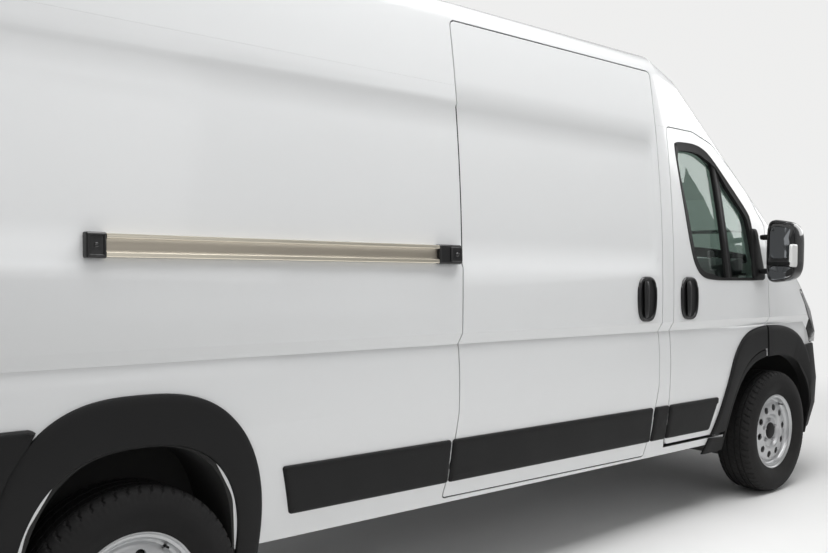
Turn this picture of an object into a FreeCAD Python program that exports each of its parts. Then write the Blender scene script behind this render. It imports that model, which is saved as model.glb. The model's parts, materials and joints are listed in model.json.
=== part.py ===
import FreeCAD, Part
import math
import os
from FreeCAD import Vector

# A high-roofed panel van, left-hand drive, with one sliding side door on its right.
# Everything is drawn in the body's own frame, in millimetres: +X forward, +Y left,
# +Z up, X = 0 at the front axle, Z = 0 at the ground under the front wheels.
# The empty body stands with its tail up, so at the end every piece turns by RAKE about
# the front axle, and the whole van moves back until its footprint is centred on zero.

# Running gear
WHEELBASE = 4035
RAKE = 1.38
TYRE_RADIUS = 360
LOADED_RADIUS = 358
TYRE_WIDTH = 225
RIM_RADIUS = 203
FRONT_TRACK = 1810
REAR_TRACK = 1790
KINGPIN_Y = 800

# Body
REAR_FACE_X = -5010
REAR_BUMPER_X = -5050
SILL_Z = 350
BELT_Z = 1046
BELT_HALF = 1010
BELT_STEP = 27
CANT_HALF = 901
CANT_Z = 2330
ROOF_EDGE_HALF = 785
ROOF_EDGE_Z = 2440
ROOF_Z = 2475
SIDE_RADIUS = 7150
SEAM_Z = 2053
WALL = 60
SKIN = 8
FLOOR_Z = 490
FLOOR_T = 20
FIT = 0.3
SHUT_GAP = 6
CAB_X = -1190
BULKHEAD_X = -1255
BULKHEAD_T = 25

# Side doors, in side view
SLIDE_REAR_X = -2662
SLIDE_FRONT_X = -1243
SLIDE_TOP_Z = 2326
DOOR_REAR_X = -1135
DOOR_FRONT_X = -109
DOOR_BOTTOM_Z = 395
DOOR_TOP_Z = 2055
DOOR_HINGE_X = -150
DOOR_HINGE_Y = 985
DOOR_HINGE_R = 5
DOOR_HINGE_Z = (1050, 1090)
DOOR_FLANGE_T = 10
DOOR_STEP = 12

# Rear doors
REAR_DOOR_HALF = 860
REAR_DOOR_BOTTOM = 500
REAR_DOOR_TOP = 2330
REAR_HINGE_OUT = 18

# Wheel arches
FRONT_ARCH_TOP = 815
REAR_ARCH_TOP = 747
ARCH_FOOT_Z = 290
TUB_Y = 711
LINER_T = 4

# Pressed beads on the roof, and panels pressed into the rear doors
ROOF_RIBS = (-560, -280, 0, 280, 560)
ROOF_RIB_HALF = 40
ROOF_RIB_REAR_X = -4800
ROOF_RIB_FRONT_X = -1300
REAR_PANELS = ((590, 940), (1290, 2230))

# Glass
GLASS_T = 5
GLASS_DEPTH = 20
SEAL_WIDTH = 14

# The long pressed recess in each upper side
RECESS_LOW = 1305
RECESS_HIGH = 1984
RECESS_REAR_X = -4850
RECESS_FRONT_X = -1285
RECESS_DEPTH = 7
RECESS_SLOPE = 20

# Mouldings, handles and rail on the sides
TRIM_T = 15
TRIM_EDGE = 8
BAND_LOW = 441
BAND_HIGH = 618
HANDLE_LOW = 1055
HANDLE_HIGH = 1279
RAIL_REAR_X = -4222
RAIL_FRONT_X = -2670
RAIL_CAP = 60
RAIL_BRACKET = 138
RAIL_BOTTOM = 1326
RAIL_TOP = 1398

# Each row is one cross-section of the body: its place along the van, the half width at
# the belt, the belt's height, the outer point of the roof edge or pillar (half width,
# height), the inner point where the top begins (half width, height), and the top's
# height on the centre line.
STATIONS = (
    # x, belt half, belt z, cant half, cant z, edge half, edge z, top z
    (REAR_FACE_X, 958, BELT_Z, 855, 2318, 745, 2420, 2452),
    (-4985, 990, BELT_Z, 882, 2326, 768, 2435, 2470),
    (-4920, BELT_HALF, BELT_Z, CANT_HALF, CANT_Z, ROOF_EDGE_HALF, ROOF_EDGE_Z, ROOF_Z),
    (CAB_X, BELT_HALF, BELT_Z, CANT_HALF, CANT_Z, ROOF_EDGE_HALF, ROOF_EDGE_Z, ROOF_Z),
    (-960, 1008, BELT_Z, 897, 2240, 772, 2370, 2425),
    (-700, 1006, BELT_Z, 917, 2045, 790, 2165, 2262),
    (-455, 1003, BELT_Z, 932, 1870, 806, 1965, 2068),
    (-40, 996, BELT_Z, 950, 1570, 820, 1655, 1758),
    (424, 972, BELT_Z, 935, 1200, 800, 1310, 1418),
    (640, 925, 930, 895, 1060, 725, 1180, 1282),
    (790, 850, 830, 815, 950, 640, 1080, 1165),
    (870, 740, 760, 700, 880, 560, 1000, 1050),
)


def vec(x, y, z):
    return Vector(x, y, z)


def line(a, b):
    return Part.LineSegment(a, b).toShape()


def arc(a, b, c):
    return Part.Arc(a, b, c).toShape()


def bulged(a, b, rise, up):
    """An arc from a to b whose middle stands off its chord by rise, towards up."""
    middle = (a + b) * 0.5
    along = (b - a).normalize()
    away = up - along * up.dot(along)
    return arc(a, middle + away.normalize() * rise, b)


def half_points(row, inset):
    """The six corners of one half of a cross-section, moved inwards by inset."""
    x, belt, belt_z, cant, cant_z, edge, edge_z, top = row
    low = SILL_Z - (inset > 0) * 2 * WALL
    return (
        vec(x, belt - 65 - inset, low),
        vec(x, belt - 22 - inset, belt_z - 61),
        vec(x, belt - BELT_STEP - inset, belt_z - 46),
        vec(x, belt - inset, belt_z),
        vec(x, cant - inset, cant_z - 0.3 * inset),
        vec(x, edge - 0.6 * inset, edge_z - inset),
    )


def mirrored(point):
    return vec(point.x, -point.y, point.z)


def section(row, inset=0.0):
    """One closed cross-section of the body, of straight lines and arcs."""
    right = half_points(row, inset)
    top = vec(row[0], 0, row[7] - inset)
    edges = []
    for side in (1, -1):
        p = right if side == 1 else tuple(mirrored(q) for q in right)
        out = vec(0, side, 0)
        part = [
            bulged(p[0], p[1], 28, out),
            line(p[1], p[2]),
            line(p[2], p[3]),
            bulged(p[3], p[4], (p[4] - p[3]).Length ** 2 / (8 * SIDE_RADIUS), out),
            bulged(p[4], p[5], 0.165 * (p[5] - p[4]).Length, out),
        ]
        if side == 1:
            edges += part
            edges.append(arc(p[5], top, mirrored(p[5])))
        else:
            edges += [e for e in reversed(part)]
    edges.append(line(mirrored(right[0]), right[0]))
    return Part.Wire(Part.__sortEdges__(edges))


FORMS = {}
ALL_ROWS = len(STATIONS)


def body_form(inset=0.0, rear_x=REAR_FACE_X, front=ALL_ROWS):
    """The whole upper body as one solid, its skin moved inwards by inset."""
    key = (inset, rear_x, front)
    if key not in FORMS:
        FORMS[key] = make_form(inset, rear_x, front)
    return FORMS[key]


def make_form(inset, rear_x, front):
    """The straight load body pushed out as one profile, lofts before and behind it."""
    rows = [r for r in STATIONS[:front] if r[0] >= rear_x]
    if rows[0][0] > rear_x:
        rows.insert(0, (rear_x,) + STATIONS[2][1:])
    sections = [section(r, inset) for r in rows]
    start = [r[1:] for r in rows].index(STATIONS[3][1:])
    stop = rows.index(STATIONS[3])
    parts = [Part.Face(sections[start]).extrude(vec(rows[stop][0] - rows[start][0], 0, 0)),
             Part.makeLoft(sections[stop:], True, True)]
    if start:
        parts.append(Part.makeLoft(sections[:start + 1], True, True))
    return parts[0].fuse(parts[1:])


def rounded(corners, place):
    """A closed outline through corners (u, v, radius), placed in space by place."""
    count = len(corners)
    edges = []
    ends = []
    for i in range(count):
        u, v, radius = corners[i]
        here = Vector(u, v, 0)
        before = Vector(corners[i - 1][0], corners[i - 1][1], 0)
        after = Vector(corners[(i + 1) % count][0], corners[(i + 1) % count][1], 0)
        to_before = (before - here).normalize()
        to_after = (after - here).normalize()
        if radius <= 0:
            ends.append((here, here, None))
            continue
        half = to_before.getAngle(to_after) / 2
        reach = radius / math.tan(half)
        bisector = (to_before + to_after).normalize()
        middle = here + bisector * (radius / math.sin(half) - radius)
        ends.append((here + to_before * reach, here + to_after * reach, middle))
    for i in range(count):
        start, stop, middle = ends[i]
        if middle is not None:
            edges.append(arc(place(start), place(middle), place(stop)))
        following = ends[(i + 1) % count][0]
        if (following - stop).Length > 0.01:
            edges.append(line(place(stop), place(following)))
    return Part.Wire(edges)


def side_prism(corners, y0, y1):
    """A block with a side-view outline (x, z, radius), from y0 to y1."""
    wire = rounded(corners, lambda p: vec(p.x, y0, p.y))
    return Part.Face(wire).extrude(vec(0, y1 - y0, 0))


def plan_prism(corners, z0, z1):
    """A block with a plan outline (x, y, radius), from z0 to z1."""
    wire = rounded(corners, lambda p: vec(p.x, p.y, z0))
    return Part.Face(wire).extrude(vec(0, 0, z1 - z0))


def end_prism(corners, x0, x1):
    """A block with an outline seen along the van (y, z, radius), from x0 to x1."""
    wire = rounded(corners, lambda p: vec(x0, p.x, p.y))
    return Part.Face(wire).extrude(vec(x1 - x0, 0, 0))


def box(x0, x1, y0, y1, z0, z1):
    return Part.makeBox(x1 - x0, y1 - y0, z1 - z0, vec(x0, y0, z0))


def tube_y(radius, x, z, y0, y1):
    return Part.makeCylinder(radius, y1 - y0, vec(x, y0, z), vec(0, 1, 0))


def both_sides(shape):
    """The shape and its mirror image, as solids that don't touch."""
    return Part.makeCompound(shape.Solids + mirror(shape).Solids)


def mirror(shape):
    return shape.mirror(Vector(0, 0, 0), Vector(0, 1, 0))


def fused(shapes):
    first = shapes[0]
    return first.fuse(shapes[1:]).removeSplitter() if len(shapes) > 1 else first


def grown(corners, gap):
    """An outline moved outwards from its middle by about gap, corner by corner."""
    count = len(corners)
    area = 0
    for i in range(count):
        a = corners[i]
        b = corners[(i + 1) % count]
        area += a[0] * b[1] - b[0] * a[1]
    turn = 1 if area > 0 else -1
    out = []
    for i in range(count):
        a = Vector(corners[i - 1][0], corners[i - 1][1], 0)
        b = Vector(corners[i][0], corners[i][1], 0)
        c = Vector(corners[(i + 1) % count][0], corners[(i + 1) % count][1], 0)
        first = (b - a).normalize()
        second = (c - b).normalize()
        n1 = Vector(first.y, -first.x, 0) * turn
        n2 = Vector(second.y, -second.x, 0) * turn
        push = (n1 + n2) * (gap / (1 + n1.dot(n2)))
        radius = corners[i][2]
        cross = first.x * second.y - first.y * second.x
        if radius > 0:
            radius = radius + gap if cross * turn > 0 else max(radius - gap, 1)
        out.append((b.x + push.x, b.y + push.y, radius))
    return out


# The outlines of openings and panels, in side view: x, z, corner radius.
SLIDE_OUTLINE = (
    (SLIDE_REAR_X, SLIDE_TOP_Z, 25),
    (SLIDE_FRONT_X, SLIDE_TOP_Z, 25),
    (SLIDE_FRONT_X, 720, 200),
    (SLIDE_FRONT_X - 60, 368, 12),
    (SLIDE_REAR_X - 45, 376, 12),
    (SLIDE_REAR_X, 720, 200),
)
DOOR_OUTLINE = (
    (DOOR_REAR_X, DOOR_BOTTOM_Z, 40),
    (DOOR_REAR_X, DOOR_TOP_Z, 30),
    (-860, 2058, 150),
    (-650, 2008, 200),
    (-300, 1770, 200),
    (DOOR_FRONT_X, 1580, 40),
    (DOOR_FRONT_X, 862, 12),
    (-205, 862, 40),
    (-310, 795, 80),
    (-390, 685, 300),
    (-600, DOOR_BOTTOM_Z, 30),
)
WINDOW_OUTLINE = (
    (-1062, 1976, 25),
    (-850, 1985, 90),
    (-690, 1935, 90),
    (-300, 1640, 40),
    (-215, 1270, 30),
    (-700, 1270, 120),
    (-905, 1310, 90),
    (-1000, 1650, 120),
)


def shifted(corners, along):
    """An outline in side view, moved along the van."""
    return tuple((x + along, z, radius) for x, z, radius in corners)


def both_ways(half):
    """A side-view outline from its front half, mirrored to the rear."""
    return tuple((-x, z, radius) for x, z, radius in half) + tuple(reversed(half))


# Wheel openings and the outer edges of their black rings, about their own wheel.
FRONT_ARCH = (
    (-505, ARCH_FOOT_Z, 0),
    (-460, 560, 200),
    (-265, FRONT_ARCH_TOP, 200),
    (245, FRONT_ARCH_TOP, 200),
    (425, 580, 200),
    (470, ARCH_FOOT_Z, 0),
)
FRONT_RING = (
    (-725, ARCH_FOOT_Z, 0),
    (-485, 905, 120),
    (-250, 994, 300),
    (190, 992, 300),
    (420, 882, 120),
    (457, 690, 200),
    (457, ARCH_FOOT_Z, 0),
)
REAR_ARCH = shifted(both_ways((
    (375, ARCH_FOOT_Z, 0),
    (335, 540, 150),
    (215, REAR_ARCH_TOP, 150),
)), -WHEELBASE)
REAR_RING = shifted(both_ways((
    (456, ARCH_FOOT_Z, 0),
    (446, 590, 200),
    (330, 800, 200),
    (140, 907, 200),
)), -WHEELBASE)
FAR = 1200


def right_side(corners, inner=500):
    """A side-view outline as a block that cuts only the right side of the body."""
    return side_prism(corners, -FAR, -inner)


def layer(block, outer, inner):
    """The part of a block that lies between two insets of the body's skin."""
    kept = block.common(body_form(outer, REAR_FACE_X + max(outer, 0)))
    return kept.cut(body_form(inner, REAR_FACE_X + max(inner, 0)))


def biggest(shape):
    return max(shape.Solids, key=lambda solid: solid.Volume)


def plaque(corners, thick=TRIM_T, edge=TRIM_EDGE, seat=0.0):
    """A moulded strip on the right side, seated at an inset of the skin, its face smaller."""
    foot = layer(right_side(corners), -0.6 * thick, seat - FIT)
    face = layer(right_side(grown(corners, -edge)), -thick, seat - FIT)
    return fused([foot, face])


def side_y(z, depth=0.0):
    """Half width of the load body's upper side at a height, moved inwards by depth."""
    length = math.hypot(BELT_HALF - CANT_HALF, CANT_Z - BELT_Z)
    t = (z - BELT_Z) / (CANT_Z - BELT_Z)
    chord = BELT_HALF + (CANT_HALF - BELT_HALF) * t
    return chord + length ** 2 / (2 * SIDE_RADIUS) * t * (1 - t) - depth


def recess_section(x, shrink, depth):
    """The recess's cutter at one place: its mouth is outside the skin, its floor at depth."""
    low = RECESS_LOW + shrink
    high = RECESS_HIGH - shrink

    def p(z, inwards):
        return vec(x, side_y(z, inwards), z)

    a, b = p(low, -3), p(high, -3)
    c, d = p(high - RECESS_SLOPE, depth), p(low + RECESS_SLOPE, depth)
    middle = (low + high) / 2
    return Part.Wire([arc(a, p(middle, -3), b), line(b, c), arc(c, p(middle, depth), d),
                      line(d, a)])


def make_recess():
    """The cutter of the left side's recess, its ends rounded by four short stages."""
    stages = ((0, 60, -1), (12, 25, 0.3 * RECESS_DEPTH), (35, 5, 0.85 * RECESS_DEPTH),
              (70, 0, RECESS_DEPTH))
    rows = [(RECESS_REAR_X + x, shrink, depth) for x, shrink, depth in stages]
    rows += [(RECESS_FRONT_X - x, shrink, depth) for x, shrink, depth in reversed(stages)]
    return Part.makeLoft([recess_section(*row) for row in rows], True, True)


def make_handle(x0, x1):
    """A black plate with a cup and an upright grip, between two places along the van."""
    plate = ((x0, HANDLE_LOW, 55), (x1, HANDLE_LOW, 55), (x1, HANDLE_HIGH, 55),
             (x0, HANDLE_HIGH, 55))
    cup = layer(right_side(grown(plate, -16)), -2 * TRIM_T, -4)
    middle = (x0 + x1) / 2
    grip = layer(right_side(((middle - 17, HANDLE_LOW + 8, 14), (middle + 17, HANDLE_LOW + 8, 14),
                             (middle + 17, HANDLE_HIGH - 8, 14),
                             (middle - 17, HANDLE_HIGH - 8, 14))), -18, -1)
    return fused([plaque(plate, 14, 4).cut(cup), grip])


def make_seal():
    """The rubber frame of the door window with the upright bar of its quarter light."""
    frame = right_side(grown(WINDOW_OUTLINE, -FIT)).cut(
        right_side(grown(WINDOW_OUTLINE, -SEAL_WIDTH)))
    bar = right_side(((-710, 1930, 0), (-688, 1930, 0), (-487, 1272, 0), (-509, 1272, 0)))
    bar = bar.common(right_side(grown(WINDOW_OUTLINE, -1)))
    return layer(fused([frame, bar]), 2, GLASS_DEPTH - FIT)


def make_mirror():
    """The right door mirror: a rounded housing with two pockets, on a foot with two arms."""
    plan = plan_prism(((-300, -1065, 10), (-300, -1250, 20), (-215, -1252, 60),
                       (-135, -1190, 60), (-130, -1075, 30)), 1200, 1650)
    housing = plan.common(end_prism(((-1062, 1235, 30), (-1250, 1228, 45), (-1254, 1560, 60),
                                     (-1200, 1606, 60), (-1070, 1600, 40)), -320, -100))
    pockets = [
        end_prism(((-1076, 1340, 20), (-1238, 1338, 25), (-1240, 1558, 50), (-1196, 1592, 50),
                   (-1082, 1588, 30)), -320, -294),
        end_prism(((-1076, 1249, 20), (-1238, 1243, 35), (-1238, 1326, 20), (-1076, 1326, 20)),
                  -320, -294),
    ]
    foot = plaque(((-300, 1280, 20), (-160, 1275, 20), (-160, 1560, 20), (-230, 1600, 20)),
                  12, 4)
    arms = []
    for z in (1300, 1500):
        arm = side_prism(((-262, z, 12), (-202, z, 12), (-202, z + 32, 12), (-262, z + 32, 12)),
                         -1080, -948)
        arms.append(arm.cut(body_form(-FIT)))
    return fused([housing.cut(pockets), foot] + arms)


def make_rail():
    """The sliding door's track: an open channel on the right side's skin."""
    x0 = RAIL_REAR_X + RAIL_CAP + FIT
    x1 = RAIL_FRONT_X - RAIL_BRACKET - FIT

    def bar(low, high):
        return right_side(((x0, low, 0), (x1, low, 0), (x1, high, 0), (x0, high, 0)))

    channel = layer(bar(RAIL_BOTTOM, RAIL_TOP), -20, RECESS_DEPTH - FIT)
    mouth = layer(bar(RAIL_BOTTOM + 22, RAIL_TOP - 22), -30, -6)
    groove = layer(bar(RAIL_BOTTOM + 10, RAIL_TOP - 10), -15, -6)
    return channel.cut([mouth, groove])


def rail_ends():
    """The black cap and the black bracket at the two ends of the track."""
    ends = ((RAIL_REAR_X, RAIL_REAR_X + RAIL_CAP), (RAIL_FRONT_X - RAIL_BRACKET, RAIL_FRONT_X))
    return [plaque(((a, RAIL_BOTTOM, 10), (b, RAIL_BOTTOM, 10), (b, RAIL_TOP + 3, 10),
                    (a, RAIL_TOP + 3, 10)), 24, 4, RECESS_DEPTH) for a, b in ends]


# Plan outlines of the panes and panels on top of the nose: x, y, corner radius.
SCREEN_PLAN = ((-620, -770, 60), (335, -800, 60), (335, 800, 60), (-620, 770, 60))
COWL_PLAN = ((335.3, -800, 0), (420, -790, 0), (420, 790, 0), (335.3, 800, 0))
BONNET_PLAN = ((428, -790, 40), (862, -596, 60), (862, 596, 60), (428, 790, 40))
BONNET_HINGE_X = 380
BONNET_HINGE_Y = 350
BONNET_HINGE_Z = 1395
BONNET_T = 22
LAMP_OUTLINE = (
    (372, 1205, 10),
    (560, 862, 40),
    (869, 862, 10),
    (869, 1060, 10),
    (640, 1215, 10),
)
NOSE_SPLIT_Z = 856
WING_TOP_Z = 1330
FRAME_FRONT_X = 330

# Front bumper: z, side half width, corner end x, corner end y, front x.
BUMPER_START_X = 250
BUMPER_T = 14
INTAKE_BARS = (478, 526)
BUMPER_ROWS = (
    (330, 955, 770, 700, 905),
    (480, 992, 795, 730, 942),
    (640, 998, 800, 738, 948),
    (855.7, 976, 770, 715, 908),
)


def bumper_row(row, inset):
    z, side, corner_x, corner_y, front = row
    side -= inset
    corner_x -= inset
    corner_y -= inset
    front -= inset
    back = BUMPER_START_X
    drop = side - corner_y
    radius = ((corner_x - 430) ** 2 + drop ** 2) / (2 * drop)
    angle = math.asin(min(1, (corner_x - 430) / radius))
    mid_x = 430 + radius * math.sin(angle / 2)
    mid_y = side - radius * (1 - math.cos(angle / 2))
    edges = []
    for s in (1, -1):
        edges.append(line(vec(back, s * side, z), vec(430, s * side, z)))
        edges.append(arc(vec(430, s * side, z), vec(mid_x, s * mid_y, z),
                         vec(corner_x, s * corner_y, z)))
    edges.append(arc(vec(corner_x, corner_y, z), vec(front, 0, z),
                     vec(corner_x, -corner_y, z)))
    edges.append(line(vec(back, -side, z), vec(back, side, z)))
    return Part.Wire(Part.__sortEdges__(edges))


def make_bumper():
    outer = Part.makeLoft([bumper_row(r, 0) for r in BUMPER_ROWS], True, True)
    low = (BUMPER_ROWS[0][0] - 20,) + BUMPER_ROWS[0][1:]
    high = (BUMPER_ROWS[-1][0] + 20,) + BUMPER_ROWS[-1][1:]
    rows = (low,) + BUMPER_ROWS + (high,)
    inner = Part.makeLoft([bumper_row(r, BUMPER_T) for r in rows], True, True)
    hollow = outer.cut(inner)
    intake = end_prism(((-560, 430, 30), (560, 430, 30), (600, 590, 30), (-600, 590, 30)),
                       700, 1000)
    bars = [box(700, 1000, -FAR, FAR, z, z + 14) for z in INTAKE_BARS]
    plate_rest = end_prism(((-270, 668, 12), (270, 668, 12), (270, 792, 12), (-270, 792, 12)),
                           943, 1000)
    lamp_well = end_prism(((-735, 470, 30), (-640, 470, 30), (-655, 560, 30), (-735, 560, 30)),
                          780, 1000)
    return hollow.cut([intake.cut(bars), plate_rest, lamp_well, mirror(lamp_well),
                       side_prism(grown(FRONT_ARCH, 1), -FAR, FAR)])


def make_tyre(y, x, z):
    """A tyre whose middle plane is at y, in a ring of lines and arcs."""
    half = (
        # radius, distance from the middle plane
        (RIM_RADIUS + 2, 74),
        (RIM_RADIUS + 23, 80),
        (285, TYRE_WIDTH / 2),
        (TYRE_RADIUS, TYRE_WIDTH / 2 - 27),
    )
    points = [vec(x, y + across, z + radius) for radius, across in half]
    points += [vec(x, y - across, z + radius) for radius, across in reversed(half)]
    ring = Part.makePolygon(points + [points[0]])
    return Part.Face(ring).revolve(vec(x, y, z), vec(0, 1, 0), 360)


RIM_PROFILE = (
    # radius, distance outwards from the middle plane
    (220, 86), (200, 81), (197, 60), (180, 46), (160, 54), (98, 54), (88, 45), (60, 45),
    (50, 57), (34, 57), (34, 37), (90, 37), (104, 46), (156, 46), (172, 34), (183, 34),
    (183, -48), (198, -62), (200, -81), (220, -86), (220, -81), (205, -77), (203, -60),
    (188, -44), (188, 42), (203, 58), (205, 77), (220, 81),
)
RIM_HOLES = 10
RIM_HOLE_R = 15
RIM_HOLE_AT = 130


def make_rim(y, x, z, side):
    points = [vec(x, y + side * a, z + r) for r, a in RIM_PROFILE]
    wire = Part.makePolygon(points + [points[0]])
    rim = Part.Face(wire).revolve(vec(x, y, z), vec(0, 1, 0), 360)
    holes = []
    for i in range(RIM_HOLES):
        turn = 2 * math.pi * i / RIM_HOLES
        hx = x + RIM_HOLE_AT * math.sin(turn)
        hz = z + RIM_HOLE_AT * math.cos(turn)
        y0 = y + min(side * 30, side * 80)
        holes.append(tube_y(RIM_HOLE_R, hx, hz, y0, y0 + 50))
    return rim.cut(holes)


REAR_WHEEL_Z = LOADED_RADIUS - WHEELBASE * math.tan(math.radians(RAKE))
KINGPIN_LEAN = 13
KINGPIN_FOOT_Z = 205
SPINDLE_R = 33.7
SPINDLE_END = 54


def make_knuckle(side):
    """Hub carrier, stub and strut of one front wheel; the strut leans inwards."""
    z = LOADED_RADIUS
    y = side * FRONT_TRACK / 2
    lean = math.radians(KINGPIN_LEAN)
    up = vec(0, -side * math.sin(lean), math.cos(lean))
    foot = vec(0, side * KINGPIN_Y, KINGPIN_FOOT_Z)
    y0 = min(side * (KINGPIN_Y - 45), y + side * SPINDLE_END)
    y1 = max(side * (KINGPIN_Y - 45), y + side * SPINDLE_END)
    stub = Part.makeCylinder(SPINDLE_R, y1 - y0, vec(0, y0, z), vec(0, 1, 0))
    disc_y = min(side * (KINGPIN_Y + 50), side * (KINGPIN_Y + 74))
    disc = Part.makeCylinder(140, 24, vec(0, disc_y, z), vec(0, 1, 0))
    caliper_y = min(side * (KINGPIN_Y + 32), side * (KINGPIN_Y + 92))
    caliper = side_prism(((-150, z - 62, 20), (-82, z - 78, 20), (-82, z + 78, 20),
                          (-150, z + 62, 20)), caliper_y, caliper_y + 60)
    lower = Part.makeCylinder(26, 200, foot, up)
    strut = Part.makeCylinder(24, 610, foot, up)
    spring = Part.makeCylinder(58, 160, foot + up * 430, up)
    return fused([stub, disc, caliper, lower, strut, spring])


def make_subframe():
    """Two cross beams under the rails, and a lower arm out to each ball joint."""
    top = RAIL_LOW - FIT
    parts = [box(-260, -180, -RAIL_OUT + 5, RAIL_OUT - 5, 300, top),
             box(180, 260, -RAIL_OUT + 5, RAIL_OUT - 5, 300, top)]
    lean = math.radians(KINGPIN_LEAN)
    for side in (1, -1):
        up = vec(0, -side * math.sin(lean), math.cos(lean))
        foot = vec(0, side * KINGPIN_Y, KINGPIN_FOOT_Z)
        for x0, x1, y_in, y_out, z0, z1 in (
                (-260, 260, 330, 420, 290, 330), (-45, 45, 340, 410, 190, 300),
                (-45, 45, 340, 700, 172, 192), (-18, 18, 690, KINGPIN_Y + 10, 172, 192)):
            y0 = min(side * y_in, side * y_out)
            parts.append(box(x0, x1, y0, y0 + y_out - y_in, z0, z1))
        parts.append(Part.makeCylinder(15, 26, foot - up * (26 + FIT), up))
    return fused(parts)


SPRING_LEAVES = (670, 480, 280)
SPRING_LEAF_T = 13


def make_rear_axle():
    x = -WHEELBASE
    z = REAR_WHEEL_Z
    half = REAR_TRACK / 2
    shapes = [tube_y(SPINDLE_R, x, z, -half - SPINDLE_END, half + SPINDLE_END)]
    shapes.append(tube_y(45, x, z, -760, 760))
    for side in (1, -1):
        d0 = min(side * (half - 60), side * (half - 30))
        shapes.append(tube_y(140, x, z, d0, d0 + 30))
        y0 = min(side * 435, side * 505)
        for i, reach in enumerate(SPRING_LEAVES):
            sag = i * SPRING_LEAF_T
            middle = z + 76 - sag
            end = middle + (RAIL_LOW - FIT - z - 76) * (reach - 60) / (SPRING_LEAVES[0] - 60)
            shapes.append(side_prism(
                (
                    (x - reach, end - SPRING_LEAF_T, 0), (x - reach, end, 0),
                    (x - 60, middle, 30), (x + 60, middle, 30), (x + reach, end, 0),
                    (x + reach, end - SPRING_LEAF_T, 0), (x + 60, middle - SPRING_LEAF_T, 30),
                    (x - 60, middle - SPRING_LEAF_T, 30),
                ), y0, y0 + 70))
        shapes.append(box(x - 45, x + 45, y0, y0 + 70, z, z + 45))
    return fused(shapes)


RAIL_IN = 430
RAIL_OUT = 510
RAIL_LOW = 380
RAIL_HIGH = FLOOR_Z - FLOOR_T
CAB_FLOOR_Z = 580
TUB_T = 6

# Fixings: the screw-in towing eye in front, and four bolts of a tow bar behind.
TOW_EYE_R = 10.5
TOW_EYE_Y = -380
TOW_EYE_Z = 445
TOW_BAR_R = 6.5
TOW_BAR_X = (-4760, -4680)
TOW_BAR_Z = 425


def make_underbody(inside):
    floor = box(REAR_FACE_X + WALL + 2, BULKHEAD_X, -FAR, FAR, RAIL_HIGH, FLOOR_Z)
    floor = floor.common(inside)
    tub_outer = side_prism(grown(REAR_ARCH, 24), -FAR, FAR)
    tub_inner = side_prism(grown(REAR_ARCH, 24 - TUB_T), -FAR, FAR)
    floor = floor.cut(tub_inner.common(fused([
        box(-6000, 0, TUB_Y, FAR, 0, 1000), box(-6000, 0, -FAR, -TUB_Y, 0, 1000)])))
    tubs = []
    for side in (1, -1):
        low = min(side * TUB_Y, side * FAR)
        skin_box = box(-6000, 0, low, low + FAR - TUB_Y, RAIL_HIGH, 1500)
        low_in = min(side * (TUB_Y + TUB_T), side * FAR)
        in_box = box(-6000, 0, low_in, low_in + FAR - TUB_Y - TUB_T, 0, 1500)
        tub = tub_outer.common(skin_box).cut(tub_inner.common(in_box))
        tubs.append(tub.common(inside))
    parts = [floor] + tubs
    for side in (1, -1):
        y0 = min(side * RAIL_IN, side * RAIL_OUT)
        parts.append(box(-4900, 560, y0, y0 + RAIL_OUT - RAIL_IN, RAIL_LOW, RAIL_HIGH))
        s0 = min(side * 868, side * 928)
        sill = box(-3560, -520, s0, s0 + 60, SILL_Z + 15, RAIL_HIGH)
        parts.append(sill.common(inside))
        for x in (-3300, -2500, -1700, -900):
            o0 = min(side * RAIL_OUT, side * 868)
            parts.append(box(x, x + 60, o0, o0 + 868 - RAIL_OUT, 400, RAIL_HIGH))
    for x in (-4880, -4600, -3560, -2800, -2000, -1200, -500, 480):
        parts.append(box(x, x + 60, -RAIL_IN, RAIL_IN, 400, RAIL_HIGH))
    for x in (-1228, -600):
        low = box(x, x + 80, -840, 840, RAIL_HIGH, CAB_FLOOR_Z - FLOOR_T)
        parts.append(low.common(inside))
    holes = [Part.makeCylinder(TOW_EYE_R, 80, vec(470, TOW_EYE_Y, TOW_EYE_Z), vec(1, 0, 0))]
    for x in TOW_BAR_X:
        holes.append(tube_y(TOW_BAR_R, x, TOW_BAR_Z, -RAIL_OUT - 5, RAIL_OUT + 5))
    return fused(parts).cut(holes)


def make_cab_floor(inside):
    plate = side_prism(
        (
            (BULKHEAD_X + BULKHEAD_T + FIT, CAB_FLOOR_Z - FLOOR_T, 0),
            (-437, CAB_FLOOR_Z - FLOOR_T, 40),
            (-128, 868, 40),
            (-50, 1270, 30),
            (395, 1270, 0),
            (395, 1290, 0),
            (-70, 1290, 30),
            (-147, 876, 40),
            (-445, CAB_FLOOR_Z, 40),
            (BULKHEAD_X + BULKHEAD_T + FIT, CAB_FLOOR_Z, 0),
        ), -835, 835)
    wells = side_prism(grown(FRONT_ARCH, 12 + FIT), -FAR, FAR).cut(
        box(-1000, 1000, -565 + FIT, 565 - FIT, 0, 2000))
    brackets = []
    for side in (1, -1):
        y0 = min(side * (BONNET_HINGE_Y + FIT), side * (BONNET_HINGE_Y + 20))
        brackets.append(box(BONNET_HINGE_X - 9, BONNET_HINGE_X + 9, y0, y0 + 20 - FIT,
                            1289, BONNET_HINGE_Z))
        brackets.append(tube_y(9, BONNET_HINGE_X, BONNET_HINGE_Z, y0, y0 + 20 - FIT))
    return fused([plate.common(inside).cut(wells)] + brackets)


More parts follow.
